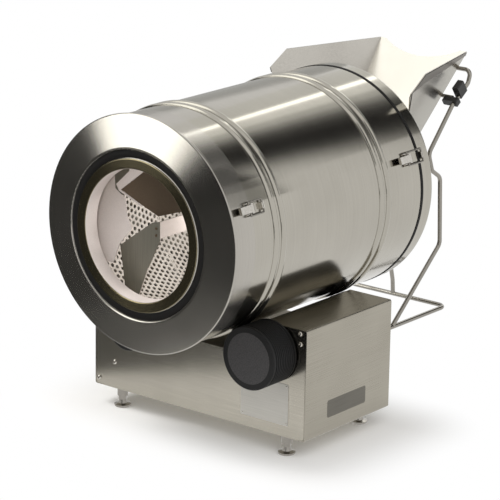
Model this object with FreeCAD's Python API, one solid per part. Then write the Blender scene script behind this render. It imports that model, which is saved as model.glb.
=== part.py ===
"""Tabletop drum breading machine: a double-walled drum on a drive wheel and three idle rollers.

Frame: X to the right seen from the discharge front, Y from front to rear along the drum's
axis, Z up. The origin is on the table, under the middle of the machine. Millimetres.
"""
import FreeCAD, Part
import math
import os
from FreeCAD import Vector

# Drum
DRUM_RADIUS = 200.0
DRUM_SHEET = 2.0
DRUM_AXIS_HEIGHT = 387.0
BEAD_HEIGHT = 4.0
BEAD_HALF_WIDTH = 6.5
BEAD_SPACING = 19.8
FRONT_BEADS = 131.6         # from the front rim to the middle of the pair
REAR_BEADS = 426.0
SHELL_END = 532.0           # from the front rim to the shell's rear edge
SEAL_WIDTH = 6.0
SEAL_PROUD = 0.8
SEAL_HEIGHT = 11.0
CAP_LENGTH = 31.0
INFEED_RADIUS = 150.0
CAP_LIP = 12.0

# Front cover
COVER_DEPTH = 11.0
COVER_SKIRT = 55.0
COVER_ROLL = 4.5            # how far the rolled edge stands proud of the drum
RIM_RADIUS = 147.5
GROOVE_DEPTH = 9.0          # the groove between the rim and the throat's rounded lip
LIP_SETBACK = 0.8
THROAT_RADIUS = 113.0
THROAT_DEPTH = 25.0
COVER_SHEET = 1.5

# Inside of the drum
SCREEN_RADIUS = 176.0
SCREEN_SHEET = 1.5
SCREEN_END = 240.0          # from the front rim to where the plain inner drum starts
INNER_END = 520.0
DIAPHRAGM_SHEET = 2.0
VANE_SHEET = 2.0
FLIGHT_HEIGHT = 22.0
FLIGHT_SHEET = 3.0
FLIGHT_COUNT = 3
SPIRAL_PITCH = 128.0
SPIRAL_SHEET = 2.5
SPIRAL_GAP = 0.3
SPIRAL_START = 70.0

# Drive wheel at the front right, three idle rollers, and their shafts
WHEEL_RADIUS = 55.0
WHEEL_LENGTH = 61.0
WHEEL_X = 162.0
WHEEL_GAP = 0.3             # between a tyre and the crest of a bead
WHEEL_OFFSET = 2.5          # between the drive wheel and the housing
ROLLER_RADIUS = 40.0
ROLLER_LENGTH = 36.0
ROLLER_X = 120.0
ROLLER_OFFSET = 4.5         # between a rear roller and the housing
AXLE_FLANGE_RADIUS = 13.0
AXLE_FLANGE = 2.0
AXLE_NECK_RADIUS = 6.0
AXLE_NUT_RADIUS = 9.5
AXLE_NUT = 6.0
TYRE_THICKNESS = 10.5
HUB_RIM = 4.0
HUB_DISC = 5.0
HUB_BOSS_RADIUS = 19.0
SHAFT_RADIUS = 8.0
RUNNING_GAP = 0.05
BEARING_RADIUS = 26.0
BEARING_BOSS_RADIUS = 19.0
BEARING_FLANGE = 6.0
BEARING_LENGTH = 16.0

# Housing
BASE_FRONT = 163.5          # from the front rim to the housing's front face
BASE_LENGTH = 240.0
BASE_WIDTH = 470.0
BASE_BOTTOM = 36.0
SHOULDER_HEIGHT = 232.0
SHOULDER_INNER_X = 145.0
SADDLE_HALF_WIDTH = 95.0
SADDLE_HEIGHT = 165.0
BASE_SHEET = 2.0
BASE_BEND = 4.0
BASE_RETURN = 15.0
PANEL_FLANGE = 11.0
PANEL_GAP = 0.3
SCREW_RADIUS = 4.5

# Feet
FOOT_X = 185.0
FOOT_INSET = 16.5           # from the housing's end faces to a foot's axis
FOOT_RADIUS = 15.0
FOOT_DISC = 6.0
FOOT_HUB_RADIUS = 8.0
STUD_RADIUS = 4.0
STUD_TOP = 60.0
SLEEVE_RADIUS = 9.5
SLEEVE_BOTTOM = 20.0
NUT_RADIUS = 7.5
NUT_HEIGHT = 6.5

# Drive
SHAFT_PULLEY_RADIUS = 29.0
MOTOR_PULLEY_RADIUS = 18.0
PULLEY_FLANGE = 2.6
PULLEY_WIDTH = 16.0
BELT_WIDTH = 11.0
BELT_THICKNESS = 2.0
BELT_GAP = 0.1
PULLEY_FROM_REAR = 38.0     # from the housing's rear face to the pulleys' middle
MOTOR_X = 132.0
MOTOR_HEIGHT = 92.0
MOTOR_RADIUS = 36.0
MOTOR_LENGTH = 100.0
GEARBOX_SIDE = 78.0
GEARBOX_LENGTH = 46.0
MOTOR_SHAFT_RADIUS = 7.0
BRACKET_SHEET = 3.0

# Wire frame
ROD_RADIUS = 4.0
ROD_BEND = 16.0
ROD_X = 120.0
LOWER_ROD_HEIGHT = 117.0
LOWER_ROD_REACH = 336.0     # behind the housing's rear face
SOCKET_RADIUS = 16.0
SOCKET_FLANGE = 5.0
SOCKET_LENGTH = 20.0
PROP_HALF_WIDTH = 40.0

# Hopper
HOPPER_LENGTH = 811.0       # from the front rim to the hopper's rear corners
HOPPER_TOP = 584.5
HOPPER_SLOPE = 48.85
HOPPER_SHEET = 2.0
HOPPER_REAR_HALF_WIDTH = 96.0
WING_SPREAD = 0.2692        # how much wider, per millimetre towards the drum
WING_LEAN = 0.3612          # how much wider, per millimetre of height
WING_TOP_REACH = 212.0      # from the rear corners to the wings' front corners
WING_NOSE = 16.0            # how far the wings reach over the cap
SPOUT_REACH = 276.0         # from the rear corners to the spout's tip
SPOUT_SIDE_TOP = 430.0
CAP_CLEARANCE = 5.0
SCALLOP_HALF_WIDTH = 84.0
SCALLOP_DEPTH = 25.0
REST_GAP = 0.3
PEG_RADIUS = 3.5
CLAMP_FOOT = 70.0           # from the rear corners to where the lower clamp bar starts on the rod
CLAMP_BAR_LENGTH = 11.0
CLAMP_BAR_HALF = 6.5
CLAMP_BAR_X = (96.0, 128.0)
CLAMP_GUARD_LENGTH = 21.0
CLAMP_GUARD_X = (112.0, 125.5)
CLAMP_GUARD_SPAN = (-5.5, 21.0)

# Latches
LATCH_ANGLES = (20.0, 200.0)
LATCH_PIVOT_HEIGHT = 7.0
LATCH_WIDTH = 17.0
LATCH_EAR = 2.0
LEVER_LENGTH = 33.0
LEVER_PIN_REACH = 6.0
BAIL_RADIUS = 1.8
KEEPER_SHEET = 1.8
FRONT_PIVOT = 62.0          # from the front rim to the front latches' pivots
FRONT_BAIL = 31.0
REAR_PIVOT = 502.0
REAR_BAIL = 40.0

# Rear panel fittings
GLAND_X = -186.0
GLAND_HEIGHT = 62.0
SWITCH_X = -186.0
SWITCH_HEIGHT = 97.0
SWITCH_PIN_RADIUS = 2.0
SWITCH_PIN_HALF = 9.6       # half the length of the pins that the rocker tips on

RIM_Y = -HOPPER_LENGTH / 2


def station(distance):
    """Y of a place that is this far behind the front rim."""
    return RIM_Y + distance


AXIS = Vector(0, 0, DRUM_AXIS_HEIGHT)
ALONG = Vector(0, 1, 0)
BASE_Y0 = station(BASE_FRONT)
BASE_Y1 = BASE_Y0 + BASE_LENGTH
TREAD_REACH = DRUM_RADIUS + BEAD_HEIGHT + WHEEL_GAP
WHEEL_Z = DRUM_AXIS_HEIGHT - math.sqrt((TREAD_REACH + WHEEL_RADIUS)**2 - WHEEL_X**2)
ROLLER_Z = DRUM_AXIS_HEIGHT - math.sqrt((TREAD_REACH + ROLLER_RADIUS)**2 - ROLLER_X**2)
CAP_FRONT = SHELL_END + SEAL_WIDTH
CAP_END = CAP_FRONT + CAP_LENGTH
PULLEY_Y = BASE_Y1 - PULLEY_FROM_REAR


def save(name, shape):
    """Writes one sub-part, after a test that it is valid."""
    if not shape.isValid():
        print("INVALID", name)
    shape.exportStep("parts/" + name + ".step")


def group(shapes):
    """Separate solids that share one node."""
    return Part.makeCompound(shapes)


def fuse(first, *others):
    """One solid from pieces that are welded or moulded together."""
    return first.multiFuse(list(others)).removeSplitter()


def tube(radius, inner, length, base, direction=ALONG):
    """A straight tube, or a solid bar where the inner radius is zero."""
    body = Part.makeCylinder(radius, length, base, direction)
    if inner > 0:
        body = body.cut(Part.makeCylinder(inner, length, base, direction))
    return body


def block(x, y, z):
    """A box between the given pairs of coordinates."""
    return Part.makeBox(x[1] - x[0], y[1] - y[0], z[1] - z[0], Vector(x[0], y[0], z[0]))


def offset_points(points, distance):
    """A run of 2-D points moved sideways to its left, with mitred corners."""
    normals = []
    for (x0, y0), (x1, y1) in zip(points, points[1:]):
        length = math.hypot(x1 - x0, y1 - y0)
        normals.append((-(y1 - y0) / length, (x1 - x0) / length))
    moved = []
    for i, (x, y) in enumerate(points):
        before = normals[max(i - 1, 0)]
        after = normals[min(i, len(normals) - 1)]
        share = 1 + before[0] * after[0] + before[1] * after[1]
        moved.append((x + distance * (before[0] + after[0]) / share,
                      y + distance * (before[1] + after[1]) / share))
    return moved


def turn_sign(a, b, c):
    """1 where the run turns left at b, otherwise -1."""
    return 1 if (b[0] - a[0]) * (c[1] - b[1]) - (b[1] - a[1]) * (c[0] - b[0]) > 0 else -1


def rounded_run(points, bends):
    """Straight edges with tangent arcs at the inner points. bends holds one radius per inner point."""
    edges = []
    start = points[0]
    for i in range(1, len(points) - 1):
        before = (points[i] - points[i - 1]).normalize()
        after = (points[i + 1] - points[i]).normalize()
        half = before.getAngle(after) / 2
        reach = bends[i - 1] * math.tan(half)
        into = points[i] - before * reach
        out = points[i] + after * reach
        if reach > 1e-6:
            inward = (after - before).normalize()
            middle = points[i] + inward * (bends[i - 1] / math.cos(half) - bends[i - 1])
            edges.append(Part.LineSegment(start, into).toShape())
            edges.append(Part.Arc(into, middle, out).toShape())
        else:
            edges.append(Part.LineSegment(start, out).toShape())
        start = out
    edges.append(Part.LineSegment(start, points[-1]).toShape())
    return edges


def sheet_section(points, bend, thickness, place):
    """The section of a bent sheet: a line, and the same line moved left by the thickness.

    A negative thickness moves it to the right. bend is the smaller radius at each corner, or a
    list with one such radius per corner.
    """
    inner = offset_points(points, thickness)
    bends = bend if isinstance(bend, list) else [bend] * (len(points) - 2)
    outer_bends, inner_bends = [], []
    for a, b, c, bend in zip(points, points[1:], points[2:], bends):
        inside = turn_sign(a, b, c) * thickness > 0
        outer_bends.append(bend + abs(thickness) if inside else bend)
        inner_bends.append(bend if inside else bend + abs(thickness))
    there = rounded_run([place(*p) for p in points], outer_bends)
    back = rounded_run([place(*p) for p in reversed(inner)], list(reversed(inner_bends)))
    ends = [Part.LineSegment(place(*points[-1]), place(*inner[-1])).toShape(),
            Part.LineSegment(place(*inner[0]), place(*points[0])).toShape()]
    return Part.Face(Part.Wire(there + [ends[0]] + back + [ends[1]]))


def on_drum(along, radius):
    """A point of a drum section: distance behind the rim, and radius."""
    return Vector(0, station(along), DRUM_AXIS_HEIGHT + radius)


def spin(face, base=AXIS):
    """A solid of revolution about the drum's axis, or about a parallel one."""
    return face.revolve(base, ALONG, 360)


def turned(profile, centre):
    """A turned piece: a closed profile of (y, radius) points about an axis along Y."""
    points = [Vector(centre[0], y, centre[1] + r) for y, r in profile]
    face = Part.Face(Part.makePolygon(points + [points[0]]))
    return spin(face, Vector(centre[0], 0, centre[1]))


def rod(points, bend):
    """A bent round rod along straight runs and tangent arcs."""
    path = Part.Wire(rounded_run(points, [bend] * (len(points) - 2)))
    first = (points[1] - points[0]).normalize()
    ring = Part.Wire(Part.makeCircle(ROD_RADIUS, points[0], first))
    return path.makePipeShell([ring], True, True)


def beaded_wall(start, end, centres):
    """The drum's wall with pairs of rolled beads, as one revolved section."""
    def line(radius):
        edges = []
        here = on_drum(start, radius)
        for centre in centres:
            for bead in (centre - BEAD_SPACING / 2, centre + BEAD_SPACING / 2):
                a = on_drum(bead - BEAD_HALF_WIDTH, radius)
                crest = on_drum(bead, radius + BEAD_HEIGHT)
                b = on_drum(bead + BEAD_HALF_WIDTH, radius)
                edges.append(Part.LineSegment(here, a).toShape())
                edges.append(Part.Arc(a, crest, b).toShape())
                here = b
        edges.append(Part.LineSegment(here, on_drum(end, radius)).toShape())
        return edges
    outer, inner = line(DRUM_RADIUS), line(DRUM_RADIUS - DRUM_SHEET)
    caps = [Part.LineSegment(on_drum(d, DRUM_RADIUS), on_drum(d, DRUM_RADIUS - DRUM_SHEET)).toShape()
            for d in (start, end)]
    return spin(Part.Face(Part.Wire(Part.__sortEdges__(outer + inner + caps))))


def drum_shell():
    """The outer wall, from the cover's joint to the rear seal."""
    return beaded_wall(COVER_DEPTH + COVER_SKIRT, SHELL_END, (FRONT_BEADS, REAR_BEADS))


def front_cover():
    """The cover: a skirt, a rolled edge, a shallow cone, a rim, a groove and the throat's lip."""
    edge = COVER_DEPTH
    band = RIM_RADIUS - THROAT_RADIUS
    line = [(edge + COVER_SKIRT, DRUM_RADIUS),
            (edge + 8, DRUM_RADIUS),
            (edge + 4, DRUM_RADIUS + COVER_ROLL),
            (edge - 1, DRUM_RADIUS + COVER_ROLL),
            (0, RIM_RADIUS + 2),
            (0, RIM_RADIUS - 2),
            (GROOVE_DEPTH, RIM_RADIUS - 0.19 * band),
            (GROOVE_DEPTH, RIM_RADIUS - 0.39 * band),
            (LIP_SETBACK, RIM_RADIUS - 0.48 * band),
            (LIP_SETBACK + 0.5, RIM_RADIUS - 0.68 * band),
            (GROOVE_DEPTH, THROAT_RADIUS),
            (THROAT_DEPTH, THROAT_RADIUS)]
    bends = [0.8] * 5 + [1.0, 1.0, 0.09 * band, 0.17 * band, 0.17 * band]
    return spin(sheet_section(line, bends, COVER_SHEET, on_drum))


def front_seal():
    """A flat gasket inside the joint between cover and shell."""
    joint = COVER_DEPTH + COVER_SKIRT
    base = AXIS + Vector(0, station(joint - 7), 0)
    outer = DRUM_RADIUS - DRUM_SHEET
    return tube(outer, outer - 3, 14, base)


def front_diaphragm():
    """The wall behind the throat that carries the front end of the screen."""
    base = AXIS + Vector(0, station(THROAT_DEPTH), 0)
    return tube(DRUM_RADIUS - COVER_SHEET, THROAT_RADIUS, DIAPHRAGM_SHEET, base)


def rear_cap():
    """The removable rear cap with its infeed opening and inward lip."""
    line = [(CAP_END - CAP_LIP, INFEED_RADIUS), (CAP_END, INFEED_RADIUS),
            (CAP_END, DRUM_RADIUS), (CAP_FRONT, DRUM_RADIUS)]
    return spin(sheet_section(line, 4.0, DRUM_SHEET, on_drum))


def rear_seal():
    """The black seal between shell and cap, a little proud of both."""
    base = AXIS + Vector(0, station(SHELL_END), 0)
    outer = DRUM_RADIUS + SEAL_PROUD
    return tube(outer, outer - SEAL_HEIGHT, SEAL_WIDTH, base)


def inner_wall(start, end):
    """A length of the inner drum."""
    base = AXIS + Vector(0, station(start), 0)
    return tube(SCREEN_RADIUS + SCREEN_SHEET, SCREEN_RADIUS, end - start, base)


def return_spiral():
    """The helical ribbon between the two walls that carries loose crumb back to the infeed."""
    inner = SCREEN_RADIUS + SCREEN_SHEET + SPIRAL_GAP
    outer = DRUM_RADIUS - DRUM_SHEET - SPIRAL_GAP
    length = INNER_END - SPIRAL_START - SPIRAL_SHEET
    edges = [Part.makeHelix(SPIRAL_PITCH, length, r).Edges[0] for r in (inner, outer)]
    ribbon = Part.makeRuledSurface(edges[0], edges[1])
    solid = ribbon.extrude(Vector(0, 0, SPIRAL_SHEET))
    if solid.ShapeType != "Solid":
        solid = Part.makeSolid(Part.makeShell(solid.Faces))
    solid.rotate(Vector(0, 0, 0), Vector(1, 0, 0), -90)
    solid.translate(Vector(0, station(SPIRAL_START), DRUM_AXIS_HEIGHT))
    return solid


def vane(outline, depth, slope_x, slope_z):
    """A flat vane whose plane leans, trimmed to seat on the screen's wall.

    outline holds (x, height above the axis) points, and those past the wall are trimmed.
    """
    def lift(x, z):
        return Vector(x, station(depth + slope_x * x + slope_z * z), DRUM_AXIS_HEIGHT + z)
    points = [lift(x, z) for x, z in outline]
    plate = Part.Face(Part.makePolygon(points + [points[0]]))
    normal = Vector(-slope_x, 1, -slope_z).normalize()
    plate = plate.extrude(normal * VANE_SHEET)
    bore = tube(SCREEN_RADIUS, 0, SCREEN_END, AXIS + Vector(0, station(0), 0))
    return plate.common(bore)


def vane_left():
    """The broad vane on the left, which faces up into the light."""
    outline = [(-130, 140), (-107, 49), (-85, 35), (-77, 8), (-63, -12), (-82, -39),
               (-89, -72), (-170, -76), (-200, 40)]
    return vane(outline, 75.5, 0.15, 0.25)


def vane_top():
    """The vane at the top right, which faces down."""
    outline = [(-83, 53), (-40, 33), (-7, 19), (44, 37), (190, 50), (150, 160), (72, 170)]
    return vane(outline, 69.0, 0.0, -0.20)


def vane_lower():
    """The leaf-shaped lower vane, with the tab at its hub end bent back."""
    outline = [(-85, -44), (-60, -26), (-6, 12), (13, 17), (13, -14), (-16, -69),
               (-42, -131), (-50, -190), (-68, -190), (-58, -131), (-73, -112), (-80, -73)]
    leaf = vane(outline, 48.2, -0.12, 0.0)
    front = station(48.2 - 0.12 * 13)
    tab = block((13 - VANE_SHEET, 13), (front + VANE_SHEET / 2, front + 67),
                (DRUM_AXIS_HEIGHT - 12, DRUM_AXIS_HEIGHT + 17))
    return fuse(leaf, tab)


def lifting_flights():
    """Straight flights on the plain inner wall that lift and turn the food."""
    wall = DRUM_AXIS_HEIGHT + SCREEN_RADIUS
    bar = block((-FLIGHT_SHEET / 2, FLIGHT_SHEET / 2),
                (station(SCREEN_END + 10), station(INNER_END - 10)), (wall - FLIGHT_HEIGHT, wall + 2))
    bar = bar.common(tube(SCREEN_RADIUS, 0, HOPPER_LENGTH, AXIS + Vector(0, station(0), 0)))
    bars = []
    for i in range(FLIGHT_COUNT):
        copy = bar.copy()
        copy.rotate(AXIS, ALONG, 30 + 360 * i / FLIGHT_COUNT)
        bars.append(copy)
    return group(bars)


def around_drum(shape, angle):
    """Turns a piece built at the drum's right side up to its angle above the horizontal."""
    shape.rotate(AXIS, ALONG, -angle)
    return shape


def latch_pin_x():
    """X of a latch's pivot before it is turned to its place."""
    return DRUM_RADIUS + LATCH_PIVOT_HEIGHT


def latch_base(pivot):
    """The bracket: a foot on the drum, two ears and the riveted pivot pin."""
    y, half = station(pivot), LATCH_WIDTH / 2
    z = DRUM_AXIS_HEIGHT
    foot = block((DRUM_RADIUS - 2, DRUM_RADIUS + 1.5), (y - 9.5, y + 3.5), (z - half - 3, z + half + 3))
    up = Vector(0, 0, 1)
    ears = []
    for low in (z - half, z + half - LATCH_EAR):
        ears.append(block((DRUM_RADIUS, latch_pin_x()), (y - 3.5, y + 3.5), (low, low + LATCH_EAR)))
        ears.append(tube(3.5, 0, LATCH_EAR, Vector(latch_pin_x(), y, low), up))
    pin = tube(2.0, 0, LATCH_WIDTH, Vector(latch_pin_x(), y, z - half), up)
    base = fuse(foot, *ears, pin)
    return base.cut(tube(DRUM_RADIUS, 0, 40, Vector(0, y - 20, z)))


def latch_lever(pivot):
    """The lever: a barrel on the pivot, an arm over the drum and a raised finger grip."""
    y, z = station(pivot), DRUM_AXIS_HEIGHT
    half = LATCH_WIDTH / 2 - LATCH_EAR - 0.2
    x = latch_pin_x()
    tip = y - LEVER_LENGTH
    points = [(y + 3.2, x - 2.2), (y + 3.2, x + 2.6), (y + 1.2, x + 3.8), (y - 10, x + 3.8),
              (tip + 8, x + 4.6), (tip + 1.5, x + 6.4), (tip, x + 5.4), (tip, x + 0.5),
              (tip + 8, x - 1.6), (y - 9, x - 2.8), (y + 1.4, x - 3.4)]
    wire = [Vector(px, py, z - half) for py, px in points]
    arm = Part.Face(Part.makePolygon(wire + [wire[0]])).extrude(Vector(0, 0, 2 * half))
    up = Vector(0, 0, 1)
    arm = arm.cut(tube(2.0 + RUNNING_GAP, 0, 4 * half, Vector(x, y, z - 2 * half), up))
    hole = tube(BAIL_RADIUS + RUNNING_GAP, 0, 4 * half, Vector(x, y - LEVER_PIN_REACH, z - 2 * half), up)
    return arm.cut(hole)


def latch_bail(pivot, reach):
    """The wire bail: two side wires, the pin through the lever and the wire behind the keeper."""
    y, z = station(pivot), DRUM_AXIS_HEIGHT
    side = LATCH_WIDTH / 2 + BAIL_RADIUS + 1.2
    x0, x1 = latch_pin_x(), DRUM_RADIUS + 4.2
    y0, y1 = y - LEVER_PIN_REACH, y + reach
    corners = [Vector(x0, y0, z - side), Vector(x1, y1, z - side), Vector(x1, y1, z + side),
               Vector(x0, y0, z + side)]
    path = Part.Wire(rounded_run(corners, [3.0, 3.0]))
    ring = Part.Wire(Part.makeCircle(BAIL_RADIUS, corners[0], (corners[1] - corners[0]).normalize()))
    wire = path.makePipeShell([ring], True, True)
    pin = tube(BAIL_RADIUS, 0, 2 * side, Vector(x0, y0, z - side), Vector(0, 0, 1))
    knobs = [Part.makeSphere(BAIL_RADIUS, Vector(x0, y0, z + s * side)) for s in (-1, 1)]
    return fuse(wire, pin, *knobs)


def latch_keeper(pivot, reach):
    """The keeper: a foot on the drum and a post in front of the bail's far wire."""
    y, z = station(pivot + reach), DRUM_AXIS_HEIGHT
    near = y - BAIL_RADIUS - 0.2
    far = near - KEEPER_SHEET
    foot = block((DRUM_RADIUS - 2, DRUM_RADIUS + 1.2), (far, near + 10), (z - 6.5, z + 6.5))
    post = block((DRUM_RADIUS, DRUM_RADIUS + 6.5), (far, near), (z - 5, z + 5))
    return fuse(foot, post).cut(tube(DRUM_RADIUS, 0, 60, Vector(0, y - 30, z)))


def wheels():
    """Name, axis, radius, Y range and end (-1 in front, 1 behind) of the drive wheel and the rollers."""
    near = BASE_Y0 - WHEEL_OFFSET
    middle = near - WHEEL_LENGTH / 2
    front = (middle - ROLLER_LENGTH / 2, middle + ROLLER_LENGTH / 2)
    rear = (BASE_Y1 + ROLLER_OFFSET, BASE_Y1 + ROLLER_OFFSET + ROLLER_LENGTH)
    return [("front_right", (WHEEL_X, WHEEL_Z), WHEEL_RADIUS, (near - WHEEL_LENGTH, near), -1),
            ("front_left", (-ROLLER_X, ROLLER_Z), ROLLER_RADIUS, front, -1),
            ("rear_left", (-ROLLER_X, ROLLER_Z), ROLLER_RADIUS, rear, 1),
            ("rear_right", (ROLLER_X, ROLLER_Z), ROLLER_RADIUS, rear, 1)]


def tyre(centre, radius, span):
    """The rubber tyre of one wheel."""
    y0, y1 = span
    inner, chamfer = radius - TYRE_THICKNESS, radius - 2.5
    profile = [(y0, inner), (y0, chamfer), (y0 + 2.5, radius), (y1 - 2.5, radius), (y1, chamfer),
               (y1, inner)]
    return turned(profile, centre)


def wheel_hub(centre, radius, span, end, bore):
    """The hub: an outer disc, a rim under the tyre and a boss on the shaft."""
    far, near = span if end < 0 else (span[1], span[0])
    disc = far - end * HUB_DISC
    rim = radius - TYRE_THICKNESS
    profile = [(far, 0), (far, rim), (near, rim), (near, rim - HUB_RIM), (disc, rim - HUB_RIM),
               (disc, HUB_BOSS_RADIUS), (near, HUB_BOSS_RADIUS), (near, bore), (disc, bore), (disc, 0)]
    return turned(profile, centre)


def drive_shaft():
    """The shaft from the drive wheel's disc to the rear bearing, thicker between the bearings."""
    y0, y1 = wheels()[0][3][0] + HUB_DISC, BASE_Y1 - BASE_SHEET - 0.5
    inside0 = BASE_Y0 + BASE_SHEET + BEARING_LENGTH + 1
    inside1 = BASE_Y1 - BASE_SHEET - BEARING_LENGTH - 1
    profile = [(y0, 0), (y0, SHAFT_RADIUS), (inside0, SHAFT_RADIUS), (inside0 + 1, SHAFT_RADIUS + 1),
               (inside1 - 1, SHAFT_RADIUS + 1), (inside1, SHAFT_RADIUS), (y1, SHAFT_RADIUS), (y1, 0)]
    return turned(profile, (WHEEL_X, WHEEL_Z))


def idler_shafts():
    """The rollers' fixed stub shafts, each with a flange outside its panel and a nut inside."""
    units = []
    for _, centre, _, span, end in wheels()[1:]:
        face = BASE_Y0 if end < 0 else BASE_Y1
        inside = face - end * BASE_SHEET
        flange = face + end * AXLE_FLANGE
        tip = (span[0] if end < 0 else span[1]) - end * (HUB_DISC + REST_GAP)
        profile = [(inside - end * AXLE_NUT, 0), (inside - end * AXLE_NUT, AXLE_NUT_RADIUS),
                   (inside, AXLE_NUT_RADIUS), (inside, AXLE_NECK_RADIUS), (face, AXLE_NECK_RADIUS),
                   (face, AXLE_FLANGE_RADIUS), (flange, AXLE_FLANGE_RADIUS), (flange, SHAFT_RADIUS),
                   (tip, SHAFT_RADIUS), (tip, 0)]
        units.append(turned(profile, centre))
    return group(units)


def pulley(centre, radius, bore):
    """A flanged flat-belt pulley."""
    y0, y1 = PULLEY_Y - PULLEY_WIDTH / 2, PULLEY_Y + PULLEY_WIDTH / 2
    lip = (PULLEY_WIDTH - BELT_WIDTH) / 2 - 0.5
    top = radius + PULLEY_FLANGE
    profile = [(y0, bore), (y0, top), (y0 + lip, top), (y0 + lip, radius), (y1 - lip, radius),
               (y1 - lip, top), (y1, top), (y1, bore)]
    return turned(profile, centre)


def belt_outline(c0, r0, c1, r1):
    """The loop round two circles in the XZ plane: two tangents and two arcs, as a wire."""
    dx, dz = c1[0] - c0[0], c1[1] - c0[1]
    angle, spread = math.atan2(dz, dx), math.acos((r0 - r1) / math.hypot(dx, dz))

    def at(c, r, a):
        return Vector(c[0] + r * math.cos(a), 0, c[1] + r * math.sin(a))
    a, b = angle + spread, angle - spread
    edges = [Part.LineSegment(at(c0, r0, a), at(c1, r1, a)).toShape(),
             Part.Arc(at(c1, r1, a), at(c1, r1, angle), at(c1, r1, b)).toShape(),
             Part.LineSegment(at(c1, r1, b), at(c0, r0, b)).toShape(),
             Part.Arc(at(c0, r0, b), at(c0, r0, angle + math.pi), at(c0, r0, a)).toShape()]
    return Part.Wire(edges)


def drive_belt():
    """The belt from the motor's pulley up to the drive shaft's."""
    motor, shaft = (MOTOR_X, MOTOR_HEIGHT), (WHEEL_X, WHEEL_Z)
    loops = []
    for extra in (BELT_GAP + BELT_THICKNESS, BELT_GAP):
        outline = belt_outline(motor, MOTOR_PULLEY_RADIUS + extra, shaft, SHAFT_PULLEY_RADIUS + extra)
        loops.append(Part.Face(outline).extrude(Vector(0, BELT_WIDTH, 0)))
    belt = loops[0].cut(loops[1])
    belt.translate(Vector(0, PULLEY_Y - BELT_WIDTH / 2, 0))
    return belt


def gear_motor():
    """The gear motor: a finned-end motor barrel, a square gearbox and its shaft boss."""
    gear1 = PULLEY_Y - PULLEY_WIDTH / 2 - 6
    gear0 = gear1 - GEARBOX_LENGTH
    half = GEARBOX_SIDE / 2
    gearbox = block((MOTOR_X - half, MOTOR_X + half), (gear0, gear1),
                    (MOTOR_HEIGHT - half, MOTOR_HEIGHT + half))
    gearbox = gearbox.makeFillet(8, [e for e in gearbox.Edges if abs(e.tangentAt(0).y) > 0.9])
    centre = (MOTOR_X, MOTOR_HEIGHT)
    back = gear0 - MOTOR_LENGTH
    barrel = [(gear0, 0), (gear0, MOTOR_RADIUS), (back + 22, MOTOR_RADIUS), (back + 20, MOTOR_RADIUS - 2),
              (back + 16, MOTOR_RADIUS - 2), (back + 14, MOTOR_RADIUS), (back + 3, MOTOR_RADIUS),
              (back, MOTOR_RADIUS - 4), (back, 0)]
    body = fuse(gearbox, turned(barrel, centre))
    socket = tube(MOTOR_SHAFT_RADIUS + RUNNING_GAP, 0, 30, Vector(MOTOR_X, gear1 - 30, MOTOR_HEIGHT))
    return body.cut(socket)


def motor_pulley():
    """The motor's output shaft with its pulley."""
    gear1 = PULLEY_Y - PULLEY_WIDTH / 2 - 6
    shaft = tube(MOTOR_SHAFT_RADIUS, 0, PULLEY_WIDTH + 6 + 25, Vector(MOTOR_X, gear1 - 25, MOTOR_HEIGHT))
    return fuse(pulley((MOTOR_X, MOTOR_HEIGHT), MOTOR_PULLEY_RADIUS, MOTOR_SHAFT_RADIUS), shaft)


def motor_bracket():
    """A folded stand from the floor plate to the gearbox."""
    gear1 = PULLEY_Y - PULLEY_WIDTH / 2 - 6
    half = GEARBOX_SIDE / 2
    top = MOTOR_HEIGHT - half
    floor = BASE_BOTTOM + BASE_SHEET + BRACKET_SHEET
    line = [(MOTOR_X - half - 18, floor), (MOTOR_X - half, floor), (MOTOR_X - half, top),
            (MOTOR_X + half, top), (MOTOR_X + half, floor), (MOTOR_X + half + 18, floor)]
    gear0 = gear1 - GEARBOX_LENGTH
    section = sheet_section(line[::-1], 0.8, BRACKET_SHEET, lambda x, z: Vector(x, gear0, z))
    return section.extrude(Vector(0, GEARBOX_LENGTH, 0))


def housing_line():
    """The housing's outer line in the XZ plane, from the left return to the right one."""
    half = BASE_WIDTH / 2
    right = [(SADDLE_HALF_WIDTH, SADDLE_HEIGHT), (SHOULDER_INNER_X, SHOULDER_HEIGHT),
             (half, SHOULDER_HEIGHT), (half, BASE_BOTTOM), (half - BASE_RETURN, BASE_BOTTOM)]
    left = [(-x, z) for x, z in reversed(right)]
    return left + right


def base_wrap():
    """The wrap: both sides, both shoulders and the saddle under the drum, folded from one sheet."""
    section = sheet_section(housing_line(), BASE_BEND - BASE_SHEET, -BASE_SHEET,
                            lambda x, z: Vector(x, BASE_Y0, z))
    return section.extrude(Vector(0, BASE_LENGTH, 0))


def panel_line(inset):
    """A closed outline inside the wrap, standing on the floor plate."""
    floor = BASE_BOTTOM + BASE_SHEET + 0.1
    inner = offset_points(housing_line()[1:-1], -BASE_SHEET - PANEL_GAP - inset)
    inner[0] = (inner[0][0], floor + inset)
    inner[-1] = (inner[-1][0], floor + inset)
    return inner


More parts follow.
